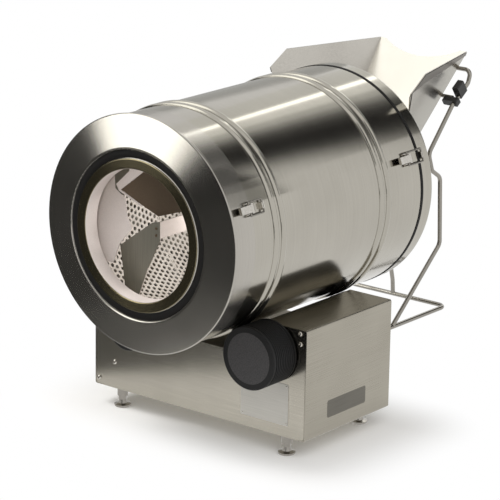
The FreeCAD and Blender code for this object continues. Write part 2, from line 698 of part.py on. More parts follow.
def end_panel(end):
    """A tray-shaped end panel with its rim turned inwards and holes for what passes through."""
    y = BASE_Y0 if end < 0 else BASE_Y1
    inward = -end

    def prism(inset, start, depth):
        corners = [Vector(x, start, z) for x, z in panel_line(inset)]
        bottom = (corners[0] + corners[-1]) * 0.5
        outline = rounded_run([bottom] + corners + [bottom], [BASE_BEND - inset] * len(corners))
        return Part.Face(Part.Wire(outline)).extrude(Vector(0, inward * depth, 0))
    tray = prism(0, y, PANEL_FLANGE).cut(prism(BASE_SHEET, y + inward * BASE_SHEET, PANEL_FLANGE))
    holes = [(centre, AXLE_NECK_RADIUS) for _, centre, _, _, place in wheels()[1:] if place == end]
    if end < 0:
        holes.append(((WHEEL_X, WHEEL_Z), SHAFT_RADIUS + 3))
    for (x, z), radius in holes:
        tray = tray.cut(tube(radius, 0, 4 * BASE_SHEET, Vector(x, y - 2 * BASE_SHEET, z)))
    return tray


def rear_panel():
    """The rear panel, with its openings for the cable gland and the switch."""
    panel = end_panel(1)
    panel = panel.cut(tube(8, 0, 4 * BASE_SHEET, Vector(GLAND_X, BASE_Y1 - 2 * BASE_SHEET, GLAND_HEIGHT)))
    slot = block((SWITCH_X - 14, SWITCH_X + 14), (BASE_Y1 - 2 * BASE_SHEET, BASE_Y1 + 1),
                 (SWITCH_HEIGHT - 11, SWITCH_HEIGHT + 11))
    return panel.cut(slot)


def floor_plate():
    """The plate between the wrap's returns, with a hole over each foot."""
    half = BASE_WIDTH / 2 - BASE_RETURN - PANEL_GAP
    plate = block((-half, half), (BASE_Y0, BASE_Y1), (BASE_BOTTOM, BASE_BOTTOM + BASE_SHEET))
    for x, y in foot_places():
        low = Vector(x, y, BASE_BOTTOM - 1)
        plate = plate.cut(tube(STUD_RADIUS + 1, 0, 3 * BASE_SHEET, low, Vector(0, 0, 1)))
    return plate


def foot_places():
    """The four feet, in the order front left, front right, rear left, rear right."""
    rows = (BASE_Y0 + FOOT_INSET, BASE_Y1 - FOOT_INSET)
    return [(side * FOOT_X, y) for y in rows for side in (-1, 1)]


def foot_sleeves():
    """The threaded sleeves welded under the floor plate."""
    up = Vector(0, 0, 1)
    length = BASE_BOTTOM - SLEEVE_BOTTOM
    return group([tube(SLEEVE_RADIUS, STUD_RADIUS + RUNNING_GAP, length, Vector(x, y, SLEEVE_BOTTOM), up)
                  for x, y in foot_places()])


def foot(x, y):
    """A levelling foot: a domed disc, a hub, the stud and its lock nut, on an upright axis."""
    nut0 = SLEEVE_BOTTOM - 0.2 - NUT_HEIGHT
    profile = [(0, 0), (0, FOOT_RADIUS - 1.5), (1.5, FOOT_RADIUS), (FOOT_DISC - 2, FOOT_RADIUS),
               (FOOT_DISC, FOOT_HUB_RADIUS), (nut0, FOOT_HUB_RADIUS - 1.5), (nut0, STUD_RADIUS),
               (STUD_TOP - 1, STUD_RADIUS), (STUD_TOP, STUD_RADIUS - 1), (STUD_TOP, 0)]
    points = [Vector(x + r, y, z) for z, r in profile]
    body = Part.Face(Part.makePolygon(points + [points[0]])).revolve(Vector(x, y, 0), Vector(0, 0, 1), 360)
    corners = [Vector(x + NUT_RADIUS * math.cos(math.radians(60 * i)),
                      y + NUT_RADIUS * math.sin(math.radians(60 * i)), nut0) for i in range(7)]
    nut = Part.Face(Part.makePolygon(corners)).extrude(Vector(0, 0, NUT_HEIGHT))
    return fuse(body, nut)


def shaft_bearings():
    """The drive shaft's two flange bearings, bolted to the insides of the end panels."""
    units = []
    for wall, step in ((BASE_Y0 + BASE_SHEET, 1), (BASE_Y1 - BASE_SHEET, -1)):
        bore = SHAFT_RADIUS + RUNNING_GAP
        depths = [(0, bore), (0, BEARING_RADIUS), (BEARING_FLANGE, BEARING_RADIUS),
                  (BEARING_FLANGE + 3, BEARING_BOSS_RADIUS),
                  (BEARING_LENGTH - 1, BEARING_BOSS_RADIUS),
                  (BEARING_LENGTH, BEARING_BOSS_RADIUS - 1), (BEARING_LENGTH, bore)]
        units.append(turned([(wall + step * depth, radius) for depth, radius in depths],
                            (WHEEL_X, WHEEL_Z)))
    return group(units)


def panel_screws():
    """The screws that hold the end panels."""
    half = BASE_WIDTH / 2
    front = [(46 - half, BASE_BOTTOM + 49), (9 - half, BASE_BOTTOM + 12),
             (half - 14, SHOULDER_HEIGHT - 7), (half - 13, SHOULDER_HEIGHT - 25)]
    low = BASE_BOTTOM + 13
    rear = [(side * x, z) for side in (-1, 1)
            for x, z in ((half - 10, low), (half - 10, SHOULDER_HEIGHT - 12), (60, low))]
    heads = []
    for places, y, step in ((front, BASE_Y0, -1), (rear, BASE_Y1, 1)):
        edge, top = y + step * 1.2, y + step * 2.6
        for x, z in places:
            profile = [(y, 0), (y, SCREW_RADIUS), (edge, SCREW_RADIUS), (top, SCREW_RADIUS - 1.9), (top, 0)]
            heads.append(turned(profile, (x, z)))
    return group(heads)


def cable_gland():
    """The inlet: a hexagonal body and a domed nut with the bore that a lead would take."""
    y = BASE_Y1
    centre = (GLAND_X, GLAND_HEIGHT)
    profile = [(y, 4), (y, 12), (y + 7, 12), (y + 8, 11), (y + 20, 10), (y + 24, 6.5), (y + 24, 4)]
    neck = turned([(y - 12, 4), (y - 12, 7.8), (y, 7.8), (y, 4)], centre)
    return fuse(turned(profile, centre), neck)


def switch_housing():
    """The switch's body in its panel cut-out, with a raised frame round the rocker and its pin holes."""
    x, z, y = SWITCH_X, SWITCH_HEIGHT, BASE_Y1
    frame = block((x - 17, x + 17), (y, y + 3), (z - 14, z + 14))
    body = block((x - 13.8, x + 13.8), (y - 18, y), (z - 10.8, z + 10.8))
    well = block((x - 11, x + 11), (y - 9, y + 4), (z - 8, z + 8))
    return fuse(frame, body).cut(well).cut(switch_pins(RUNNING_GAP))


def switch_pins(gap):
    """The upright pins that the rocker tips on, with room round them where a gap is given."""
    half = SWITCH_PIN_HALF + gap
    low = Vector(SWITCH_X, BASE_Y1, SWITCH_HEIGHT - half)
    return tube(SWITCH_PIN_RADIUS + gap, 0, 2 * half, low, Vector(0, 0, 1))


def switch_rocker():
    """The rocker, a wedge that tips on its two pins."""
    outline = ((-10.2, 1), (-9, 2.6), (0, 3.6), (9, 2.6), (10.2, 1), (6, -4.5), (-6, -4.5))
    points = [Vector(SWITCH_X + dx, BASE_Y1 + dy, SWITCH_HEIGHT - 7.6) for dx, dy in outline]
    wedge = Part.Face(Part.makePolygon(points + [points[0]])).extrude(Vector(0, 0, 15.2))
    return fuse(wedge, switch_pins(0))


def slope_z(y):
    """Height of the hopper's floor at this Y."""
    return HOPPER_TOP - (station(HOPPER_LENGTH) - y) * math.tan(math.radians(HOPPER_SLOPE))


def half_space(point, normal):
    """A large block on the side of a plane that its normal points to."""
    size = 4000
    big = Part.makeBox(size, size, size, Vector(-size / 2, -size / 2, 0))
    big.Placement = FreeCAD.Placement(point, FreeCAD.Rotation(Vector(0, 0, 1), normal))
    return big


def trough(grow):
    """The space inside the hopper's floor and wings, with each wall moved outwards by grow."""
    corner = station(HOPPER_LENGTH)
    slope = math.radians(HOPPER_SLOPE)
    floor = Vector(0, -math.sin(slope), math.cos(slope))
    room = half_space(Vector(0, corner, HOPPER_TOP) - floor * grow, floor)
    for side in (-1, 1):
        inward = Vector(-side, -WING_SPREAD, WING_LEAN).normalize()
        edge = Vector(side * HOPPER_REAR_HALF_WIDTH, corner, HOPPER_TOP)
        room = room.common(half_space(edge - inward * grow, inward))
    return room


def hopper():
    """The infeed hopper: a sloping floor with a scalloped rear edge, two wings and the spout."""
    rear = station(HOPPER_LENGTH)
    wing = rear - WING_TOP_REACH
    behind_cap = station(CAP_END) + CAP_CLEARANCE
    tip = rear - SPOUT_REACH
    nose = station(CAP_END) - WING_NOSE
    side = [(rear, HOPPER_TOP - 30), (rear, HOPPER_TOP), (wing, HOPPER_TOP + 2), (nose, HOPPER_TOP - 26),
            (nose, HOPPER_TOP - 34), (behind_cap, HOPPER_TOP - 60), (behind_cap + 2, HOPPER_TOP - 70),
            (behind_cap, SPOUT_SIDE_TOP), (tip, SPOUT_SIDE_TOP - 45), (tip, 200), (rear, 200)]
    points = [Vector(-300, y, z) for y, z in side]
    outline = Part.Face(Part.makePolygon(points + [points[0]])).extrude(Vector(600, 0, 0))
    sheet = trough(HOPPER_SHEET).cut(trough(0)).common(outline)
    slope = math.radians(HOPPER_SLOPE)
    radius = (SCALLOP_HALF_WIDTH**2 + SCALLOP_DEPTH**2) / (2 * SCALLOP_DEPTH)
    uphill = Vector(0, math.cos(slope), math.sin(slope))
    normal = Vector(0, -math.sin(slope), math.cos(slope))
    centre = Vector(0, rear, HOPPER_TOP) + uphill * (radius - SCALLOP_DEPTH)
    scallop = Part.makeCylinder(radius, 12, centre - normal * 6, normal)
    return sheet.cut(scallop)


def wing_x(y, z):
    """X of the right wing's inner face."""
    return HOPPER_REAR_HALF_WIDTH + WING_SPREAD * (station(HOPPER_LENGTH) - y) - WING_LEAN * (HOPPER_TOP - z)


def under_floor(y):
    """Height of a cross rod's middle that touches the hopper's floor from below at this Y."""
    return slope_z(y) - (HOPPER_SHEET + REST_GAP + ROD_RADIUS) / math.cos(math.radians(HOPPER_SLOPE))


def below_corner(forward, down):
    """A point in the YZ plane, measured forwards and down from the hopper's rear corners."""
    return Vector(0, station(HOPPER_LENGTH) - forward, HOPPER_TOP - down)


REST_Y = station(HOPPER_LENGTH) - 17
PROP_Y = station(HOPPER_LENGTH) - 127
DIAGONAL = (below_corner(74, 85.5), below_corner(25, 51.5))
UPHILL = (DIAGONAL[1] - DIAGONAL[0]).normalize()


def beside_rod(along, above):
    """A point beside the cradle's upper run, measured from where the lower clamp bar starts."""
    over = Vector(0, -UPHILL.z, UPHILL.y)
    start = DIAGONAL[0] + UPHILL * ((station(HOPPER_LENGTH - CLAMP_FOOT) - DIAGONAL[0].y) / UPHILL.y)
    return start + UPHILL * along + over * above


def cradle_rod():
    """The bent rod that carries the hopper: up one side, under its rear edge and down the other."""
    low = Vector(0, below_corner(240, 0).y, LOWER_ROD_HEIGHT + 2)
    right = [low, below_corner(98, 341.5), below_corner(104.5, 213.5), below_corner(131, 196.5),
             below_corner(143.5, 162.5), DIAGONAL[0], DIAGONAL[1], Vector(0, REST_Y, under_floor(REST_Y))]
    points = [Vector(ROD_X, p.y, p.z) for p in right]
    points += [Vector(-p.x, p.y, p.z) for p in reversed(points)]
    bends = [ROD_BEND, ROD_BEND, 12, ROD_BEND, 2 * ROD_BEND, 12, 12]
    bends = bends + list(reversed(bends))
    path = Part.Wire(rounded_run(points, bends))
    first = (points[1] - points[0]).normalize()
    ring = Part.Wire(Part.makeCircle(ROD_RADIUS, points[0], first))
    return path.makePipeShell([ring], True, True).cut(lower_rod())


def lower_rod():
    """The U-shaped rod that stands out behind the housing."""
    y0, y1 = BASE_Y1 + SOCKET_FLANGE, BASE_Y1 + LOWER_ROD_REACH
    corners = ((ROD_X, y0), (ROD_X, y1), (-ROD_X, y1), (-ROD_X, y0))
    return rod([Vector(x, y, LOWER_ROD_HEIGHT) for x, y in corners], ROD_BEND)


def hopper_prop():
    """The curved prop from the lower rod to a cross rod under the hopper's floor."""
    y1 = BASE_Y1 + LOWER_ROD_REACH
    top = under_floor(PROP_Y)
    lean, rise = PROP_Y - y1, top - LOWER_ROD_HEIGHT
    stem = rod([Vector(0, y1, LOWER_ROD_HEIGHT + 1)]
               + [Vector(0, y1 + along * lean, LOWER_ROD_HEIGHT + up * rise)
                  for along, up in ((0.04, 0.09), (0.54, 0.416), (0.997, 0.997))], 60)
    bar = tube(ROD_RADIUS, 0, 2 * PROP_HALF_WIDTH, Vector(-PROP_HALF_WIDTH, PROP_Y, top), Vector(1, 0, 0))
    return fuse(stem, bar).cut(lower_rod())


def rod_sockets():
    """The two flanged sockets on the rear panel that hold the lower rod's ends."""
    units = []
    flange, end = BASE_Y1 + SOCKET_FLANGE, BASE_Y1 + SOCKET_LENGTH
    profile = [(BASE_Y1, 0), (BASE_Y1, SOCKET_RADIUS), (flange, SOCKET_RADIUS), (flange, ROD_RADIUS + 3),
               (end, ROD_RADIUS + 3), (end, ROD_RADIUS), (flange, ROD_RADIUS), (flange, 0)]
    for side in (-1, 1):
        units.append(turned(profile, (side * ROD_X, LOWER_ROD_HEIGHT)))
    return group(units)


def clamp_blocks():
    """On each side rod, a bar that the hopper's peg rests on and a guard block above it."""
    angle = math.degrees(math.atan2(UPHILL.z, UPHILL.y))
    frame = cradle_rod()
    guard_start = CLAMP_BAR_LENGTH + 2 * (PEG_RADIUS + REST_GAP) + 1
    pieces = ((0, CLAMP_BAR_LENGTH, CLAMP_BAR_X, (-CLAMP_BAR_HALF, CLAMP_BAR_HALF)),
              (guard_start, CLAMP_GUARD_LENGTH, CLAMP_GUARD_X, CLAMP_GUARD_SPAN))
    units = []
    for side in (-1, 1):
        for start, length, across, above in pieces:
            x = sorted(side * value for value in across)
            piece = block(x, (start, start + length), above)
            piece = piece.makeFillet(2.5, [e for e in piece.Edges if abs(e.tangentAt(0).y) > 0.9])
            piece.rotate(Vector(0, 0, 0), Vector(1, 0, 0), angle)
            piece.translate(beside_rod(0, 0))
            units.append(piece.cut(frame))
    return group(units)


def hopper_pegs():
    """A peg on each wing that rests on the clamp's bar."""
    centre = beside_rod(CLAMP_BAR_LENGTH + REST_GAP + PEG_RADIUS, 0)
    end = CLAMP_GUARD_X[0] - 2
    body = trough(HOPPER_SHEET)
    pegs = []
    for side in (-1, 1):
        start = side * (wing_x(centre.y, centre.z) - 6)
        peg = tube(PEG_RADIUS, 0, end - abs(start), Vector(start, centre.y, centre.z), Vector(side, 0, 0))
        pegs.append(peg.cut(body))
    return group(pegs)


def build():
    """Every sub-part by its name."""
    parts = {
        "base_wrap": base_wrap(), "front_panel": end_panel(-1), "rear_panel": rear_panel(),
        "floor_plate": floor_plate(), "panel_screws": panel_screws(), "foot_sleeves": foot_sleeves(),
        "shaft_bearings": shaft_bearings(), "gear_motor": gear_motor(), "motor_bracket": motor_bracket(),
        "drive_belt": drive_belt(), "cable_gland": cable_gland(), "switch_housing": switch_housing(),
        "switch_rocker": switch_rocker(), "lower_rod": lower_rod(), "cradle_rod": cradle_rod(),
        "hopper_prop": hopper_prop(), "rod_sockets": rod_sockets(), "clamp_blocks": clamp_blocks(),
        "hopper": hopper(), "hopper_pegs": hopper_pegs(), "motor_pulley": motor_pulley(),
        "shaft_pulley": pulley((WHEEL_X, WHEEL_Z), SHAFT_PULLEY_RADIUS, SHAFT_RADIUS + 1),
        "drive_shaft": drive_shaft(), "idler_shaft": idler_shafts(),
        "drum_shell": drum_shell(), "front_cover": front_cover(), "front_seal": front_seal(),
        "front_diaphragm": front_diaphragm(), "rear_cap": rear_cap(), "rear_seal": rear_seal(),
        "screen_drum": inner_wall(THROAT_DEPTH + DIAPHRAGM_SHEET, SCREEN_END),
        "inner_drum": inner_wall(SCREEN_END, INNER_END), "return_spiral": return_spiral(),
        "vane_left": vane_left(), "vane_top": vane_top(), "vane_lower": vane_lower(),
        "lifting_flights": lifting_flights(),
    }
    for name, (x, y) in zip(("front_left", "front_right", "rear_left", "rear_right"), foot_places()):
        parts["foot_" + name] = foot(x, y)
    for name, centre, radius, span, end in wheels():
        bore = SHAFT_RADIUS if name == "front_right" else SHAFT_RADIUS + RUNNING_GAP
        parts["tyre_" + name] = tyre(centre, radius, span)
        parts["hub_" + name] = wheel_hub(centre, radius, span, end, bore)
    bases, keepers = [], []
    for end, pivot, reach in (("front", FRONT_PIVOT, FRONT_BAIL), ("rear", REAR_PIVOT, REAR_BAIL)):
        for side, angle in zip(("right", "left"), LATCH_ANGLES):
            bases.append(around_drum(latch_base(pivot), angle))
            keepers.append(around_drum(latch_keeper(pivot, reach), angle))
            parts["latch_lever_" + end + "_" + side] = around_drum(latch_lever(pivot), angle)
            parts["latch_bail_" + end + "_" + side] = around_drum(latch_bail(pivot, reach), angle)
    parts["latch_bases"] = group(bases)
    parts["latch_keepers"] = group(keepers)
    return parts


def main():
    """Writes one STEP file for each sub-part."""
    os.makedirs("parts", exist_ok=True)
    for name, shape in build().items():
        save(name, shape)


if __name__ == "__main__":
    main()
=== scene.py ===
"""Dressed model of a tumbling breading machine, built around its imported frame."""

import logging
import math
from dataclasses import dataclass, field
from enum import Enum
from functools import cache
from typing import Any, ClassVar, Sequence

import bmesh
import bpy
from bpy.types import ID, Material, Mesh, Node, NodeSocket, NodeTree, Object
from mathutils import Matrix, Vector


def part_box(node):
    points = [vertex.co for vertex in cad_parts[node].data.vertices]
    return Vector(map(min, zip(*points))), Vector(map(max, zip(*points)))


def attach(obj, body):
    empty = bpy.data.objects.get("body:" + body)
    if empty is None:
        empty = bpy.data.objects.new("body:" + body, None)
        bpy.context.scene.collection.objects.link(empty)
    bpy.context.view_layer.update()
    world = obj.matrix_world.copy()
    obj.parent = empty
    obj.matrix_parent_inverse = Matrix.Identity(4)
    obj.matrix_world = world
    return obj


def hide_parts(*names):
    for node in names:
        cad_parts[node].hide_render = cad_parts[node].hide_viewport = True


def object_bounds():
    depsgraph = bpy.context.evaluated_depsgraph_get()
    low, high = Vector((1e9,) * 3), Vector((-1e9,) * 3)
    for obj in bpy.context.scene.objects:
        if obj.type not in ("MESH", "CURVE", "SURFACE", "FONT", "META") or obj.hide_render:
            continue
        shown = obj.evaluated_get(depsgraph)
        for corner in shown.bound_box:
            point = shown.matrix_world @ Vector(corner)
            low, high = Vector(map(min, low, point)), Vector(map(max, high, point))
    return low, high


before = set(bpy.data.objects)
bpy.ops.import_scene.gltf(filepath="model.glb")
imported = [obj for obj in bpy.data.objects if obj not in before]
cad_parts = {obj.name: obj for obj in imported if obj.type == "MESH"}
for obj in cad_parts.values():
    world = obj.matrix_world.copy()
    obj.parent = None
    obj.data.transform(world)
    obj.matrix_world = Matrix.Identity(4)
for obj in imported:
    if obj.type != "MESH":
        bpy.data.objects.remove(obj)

LOG = logging.getLogger("breading_machine")
MM = 0.001
DRUM_AXIS = Vector((0.0, 0.0, 0.387))
ALONG_DRUM = Vector((0.0, 1.0, 0.0))
CAD_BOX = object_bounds()
CARD_WARMTH = 0.97
IN_TURN = ((0, 0), (1, 0), (1, 1), (0, 1))
CORNERS = tuple(f"{end}_{side}" for end in ("front", "rear") for side in ("left", "right"))

Shape = bmesh.types.BMesh
Ring = list[bmesh.types.BMVert]
Span = tuple[float, float]
Triple = tuple[float, float, float]
NodeTable = dict[str, tuple[str, ...]]


def linear(colour: str) -> tuple[float, float, float, float]:
    """Turns an sRGB hex colour to linear light.

    Args:
        colour: Six hex digits after a hash sign.

    Returns:
        Red, green, blue and an alpha of one.
    """
    parts = [int(colour[i:i + 2], 16) / 255 for i in (1, 3, 5)]
    red, green, blue = (c / 12.92 if c <= 0.04045 else ((c + 0.055) / 1.055) ** 2.4 for c in parts)
    return red, green, blue, 1.0


def add_node(tree: NodeTree, kind: str, inputs: dict[Any, Any] | None = None, **settings: Any) -> Node:
    """Adds a node to a shader or geometry tree.

    Args:
        tree: The tree that gets the node.
        kind: Blender's name for the kind of node.
        inputs: Values or output sockets by input name or number.
        settings: Options of the node itself.

    Returns:
        The new node.
    """
    node = tree.nodes.new(kind)
    for name, value in settings.items():
        setattr(node, name, value)
    for key, value in (inputs or {}).items():
        if isinstance(value, NodeSocket):
            tree.links.new(value, node.inputs[key])
        else:
            node.inputs[key].default_value = value
    return node


def empty_material(name: str) -> Material:
    """Makes a material with no nodes, for a surface of the studio.

    Args:
        name: The material's name.

    Returns:
        The material, which isn't sampled as a lamp.
    """
    made = bpy.data.materials.new(name)
    made.use_nodes = True
    made.node_tree.nodes.clear()
    made.cycles.emission_sampling = "NONE"
    return made


class Grain(Enum):
    """The way in which the brushing of a metal runs."""

    ROUND_DRUM = "turned about the drum's axis"
    ACROSS = "along X"
    LENGTHWISE = "along Y"
    UPRIGHT = "along Z"
    BLASTED = "no direction"


@dataclass(frozen=True)
class Finish:
    """A surface whose colour, roughness and relief follow fine noise."""

    name: str
    light: str
    dark: str
    roughness: float
    noise_range: ClassVar[Span] = (0.35, 0.65)

    def start(self) -> tuple[Material, NodeTree, NodeSocket]:
        """Starts the material.

        Returns:
            The material, its tree and the object's coordinates.
        """
        made = bpy.data.materials.new(self.name)
        made.use_nodes = True
        return made, made.node_tree, add_node(made.node_tree, "ShaderNodeTexCoord").outputs["Object"]

    def tones(self, tree: NodeTree, value: NodeSocket) -> NodeSocket:
        """Blends the dark tone into the light one.

        Args:
            tree: The material's tree.
            value: The noise that the tones follow.

        Returns:
            The colour's socket.
        """
        blend = add_node(tree, "ShaderNodeValToRGB", {"Fac": value})
        for stop, place, colour in zip(blend.color_ramp.elements, self.noise_range, (self.dark, self.light)):
            stop.position, stop.color = place, linear(colour)
        return blend.outputs["Color"]

    def surface(self, tree: NodeTree, value: NodeSocket, uneven: float,
                height: NodeSocket, strength: float, depth: float) -> Node:
        """Links colour, roughness and relief to the material's shader.

        Args:
            tree: The material's tree.
            value: The noise that colour and roughness follow.
            uneven: How far the roughness goes up and down.
            height: The noise that the relief follows.
            strength: How strong the relief is.
            depth: How deep the relief is, in metres.

        Returns:
            The shader.
        """
        shader = tree.nodes["Principled BSDF"]
        rough = add_node(tree, "ShaderNodeMapRange", {
            "Value": value, "To Min": self.roughness - uneven, "To Max": self.roughness + uneven})
        bump = add_node(tree, "ShaderNodeBump", {"Height": height, "Strength": strength, "Distance": depth})
        tree.links.new(self.tones(tree, value), shader.inputs["Base Color"])
        tree.links.new(rough.outputs["Result"], shader.inputs["Roughness"])
        tree.links.new(bump.outputs[0], shader.inputs["Normal"])
        return shader


@dataclass(frozen=True)
class Metal(Finish):
    """A metal finish with fine lines or grit in it."""

    grain: Grain = Grain.BLASTED
    line: float = 0.9 * MM
    run: float = 90 * MM
    relief: float = 0.02
    uneven: float = 0.05
    directional: float = 0.0
    metallic: float = 1.0
    clouds_per_metre: ClassVar[float] = 9.0
    cloud_share: ClassVar[float] = 0.45
    relief_strength: ClassVar[float] = 10.0
    quarter_turn: ClassVar[float] = 0.25

    def grain_vector(self, tree: NodeTree, place: NodeSocket) -> NodeSocket:
        """Gives the coordinates in which the brushed lines are stretched noise.

        Args:
            tree: The material's tree.
            place: Object coordinates.

        Returns:
            A vector socket, one unit per line across the brushing.
        """
        fine, slow = 1 / self.line, 1 / self.run
        scale = {
            Grain.ROUND_DRUM: (fine, fine, slow), Grain.ACROSS: (slow, fine, fine),
            Grain.LENGTHWISE: (fine, slow, fine), Grain.UPRIGHT: (fine, fine, slow),
            Grain.BLASTED: (fine, fine, fine),
        }[self.grain]
        if self.grain is Grain.ROUND_DRUM:
            centred = add_node(tree, "ShaderNodeMapping", {"Vector": place, "Location": -DRUM_AXIS})
            parts = add_node(tree, "ShaderNodeSeparateXYZ", {0: centred.outputs[0]})
            flat = add_node(tree, "ShaderNodeCombineXYZ", {0: parts.outputs["X"], 2: parts.outputs["Z"]})
            reach = add_node(tree, "ShaderNodeVectorMath", {0: flat.outputs[0]}, operation="LENGTH")
            turn = add_node(tree, "ShaderNodeMath", {0: parts.outputs["X"], 1: parts.outputs["Z"]},
                            operation="ADD")
            place = add_node(tree, "ShaderNodeCombineXYZ", {
                0: reach.outputs["Value"], 1: parts.outputs["Y"], 2: turn.outputs[0]}).outputs[0]
        return add_node(tree, "ShaderNodeMapping", {"Vector": place, "Scale": scale}).outputs[0]

    def material(self) -> Material:
        """Builds the metal: brushed lines in roughness and relief, and slow cloudy patches.

        Returns:
            The material.
        """
        made, tree, place = self.start()
        lines = add_node(tree, "ShaderNodeTexNoise", {
            "Vector": self.grain_vector(tree, place), "Scale": 1.0, "Detail": 3.0,
            "Roughness": 0.6}).outputs["Fac"]
        clouds = add_node(tree, "ShaderNodeTexNoise", {
            "Vector": place, "Scale": self.clouds_per_metre, "Detail": 2.0}).outputs["Fac"]
        both = add_node(tree, "ShaderNodeMix", {"Factor": self.cloud_share, "A": lines, "B": clouds})
        shader = self.surface(tree, both.outputs["Result"], self.uneven, lines,
                              self.relief * self.relief_strength, self.relief * MM)
        shader.inputs["Metallic"].default_value = self.metallic
        shader.inputs["Anisotropic"].default_value = self.directional
        if self.grain is Grain.ROUND_DRUM and self.directional:
            shader.inputs["Anisotropic Rotation"].default_value = self.quarter_turn
            round_drum = add_node(tree, "ShaderNodeTangent", direction_type="RADIAL", axis="Y")
            tree.links.new(round_drum.outputs[0], shader.inputs["Tangent"])
        return made


@dataclass(frozen=True)
class Moulding(Finish):
    """A rubber or plastic finish with moulded grit."""

    grit: float = 1.2 * MM
    relief: float = 0.15
    index: float = 1.5
    uneven: ClassVar[float] = 0.08
    depth: ClassVar[float] = 0.1 * MM

    def material(self) -> Material:
        """Builds the moulded surface: grit in relief and roughness, and a slightly uneven colour.

        Returns:
            The material.
        """
        made, tree, place = self.start()
        grit = add_node(tree, "ShaderNodeTexNoise", {
            "Vector": place, "Scale": 1 / self.grit, "Detail": 4.0, "Roughness": 0.65}).outputs["Fac"]
        shader = self.surface(tree, grit, self.uneven, grit, self.relief, self.depth)
        shader.inputs["IOR"].default_value = self.index
        return made


FINISHES = {
    finish.name: finish for finish in (
        # Stainless sheet, brushed round the drum while it turns: fine rings that hold a sharp light.
        Metal("stainless_round_brushed", "#b3afa5", "#a8a49a", 0.14, Grain.ROUND_DRUM, directional=0.7,
              run=700 * MM, uneven=0.02, relief=0.008),
        # Stainless face turned on a lathe: concentric rings that spread light into fans.
        Metal("stainless_turned", "#b5b1a9", "#aba79f", 0.2, Grain.ROUND_DRUM, directional=0.85,
              run=700 * MM, uneven=0.02, relief=0.006),
        # Stainless inside the drum, warmer and scuffed by the food that tumbles in it.
        Metal("stainless_tumbled", "#f0eae3", "#ded7ce", 0.4, Grain.ROUND_DRUM, run=30 * MM, relief=0.01,
              metallic=0.1),
        # Stainless housing sheet with the mill's long grain from side to side.
        Metal("stainless_long_grain", "#b9b4a8", "#a9a498", 0.22, Grain.ACROSS, run=140 * MM, relief=0.007),
        # The same sheet with its grain from front to rear.
        Metal("stainless_side_grain", "#a8a397", "#9b968a", 0.28, Grain.LENGTHWISE, run=140 * MM,
              relief=0.01),
        # Bright sheet of the hopper, grain down its slope.
        Metal("stainless_hopper", "#c4c0b8", "#b4b0a8", 0.24, Grain.LENGTHWISE, run=120 * MM),
        # Vane sheet, bead blasted, so it looks soft and even.
        Metal("stainless_blasted", "#dad0ca", "#c8beb8", 0.5, line=1.5 * MM, relief=0.01, metallic=0.15),
        # Vane sheet in a dark brown copy of the pale vane sheet: painted shade deep in the drum.
        Metal("stainless_burnished", "#6f604f", "#5c4f41", 0.34, line=1.5 * MM, relief=0.01, metallic=0.6),
        # Vane sheet in an olive copy of the pale vane sheet: painted shade on faces turned from the light.
        Metal("stainless_bloomed", "#7e7b70", "#6b685d", 0.4, Grain.UPRIGHT, run=60 * MM, relief=0.01,
              metallic=0.5),
        # The throat's lip, turned; its dark, warm base is painted reflection: dark where it mirrors the dark
        # studio, golden where it mirrors warm light.
        Metal("stainless_lip", "#948b70", "#837a61", 0.18, Grain.ROUND_DRUM, directional=0.88, run=700 * MM,
              uneven=0.02, relief=0.004),
        # Hem of the hopper's wing, folded and dull; its dark colour is painted shade along the fold.
        Metal("stainless_hem", "#7f7971", "#6c665f", 0.35, Grain.UPRIGHT, run=60 * MM, relief=0.01),
        # Drawn bright wire, almost mirror smooth.
        Metal("stainless_drawn_wire", "#9b978f", "#87837c", 0.16, line=2 * MM),
        # Turned feet and sockets, a little darker than sheet.
        Metal("stainless_turned_rod", "#a5a19a", "#8f8b84", 0.22, line=2 * MM),
        # Pressed and polished small fittings.
        Metal("stainless_polished", "#d0ccc5", "#b4b0a8", 0.14, line=2 * MM),
        # Zinc plated steel of the hidden drive parts.
        Metal("zinc_plated_steel", "#a9a99f", "#8c8c84", 0.38, line=3 * MM),
        # Cast aluminium of the gearbox, with open grit.
        Metal("cast_aluminium", "#9b9a96", "#7f7e7a", 0.5, line=2 * MM, relief=0.08),
        # Satin anodised plate, bare.
        Metal("anodised_plate", "#c3c0b9", "#b3b0a9", 0.42, Grain.ACROSS, run=60 * MM),
        # Dark satin anodised plate, bare.
        Metal("anodised_dark_plate", "#77746c", "#66635c", 0.40, Grain.LENGTHWISE, run=60 * MM),
        # Black nitrile rubber of the tyres, matt with a faint bloom.
        Moulding("nitrile_rubber", "#0f0e0e", "#080808", 0.6, index=1.4),
        # Grey polyamide of the wheel centres, with coarse moulded grit.
        Moulding("grey_polyamide", "#454343", "#302f2f", 0.6, grit=2.2 * MM, relief=0.3, index=1.4),
        # Black polyamide of the clamp blocks, switch and gland.
        Moulding("black_polyamide", "#242322", "#161515", 0.45),
        # Black moulded seal.
        Moulding("seal_rubber", "#12100f", "#0a0908", 0.7, index=1.35),
    )
}


@cache
def material(name: str) -> Material:
    """Gives the material of a finish, made on first use."""
    return FINISHES[name].material()


def islands(node: str) -> list[tuple[Vector, Vector]]:
    """Finds the separate solids of a CAD node.

    Args:
        node: Name of the node.

    Returns:
        The lowest and highest corner of each solid, from left to right and low to high.
    """
    shape = bmesh.new()
    shape.from_mesh(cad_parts[node].data)
    bmesh.ops.remove_doubles(shape, verts=shape.verts, dist=0.01 * MM)
    left, boxes = set(shape.verts), []
    while left:
        stack, part = [left.pop()], []
        while stack:
            vertex = stack.pop()
            part.append(vertex.co.copy())
            fresh = {edge.other_vert(vertex) for edge in vertex.link_edges} & left
            left -= fresh
            stack.extend(fresh)
        boxes.append(tuple(Vector(pick(p[i] for p in part) for i in range(3)) for pick in (min, max)))
    shape.free()
    return sorted(boxes, key=lambda b: (round(b[0].x, 4), round(b[0].z, 4), round(b[0].y, 4)))


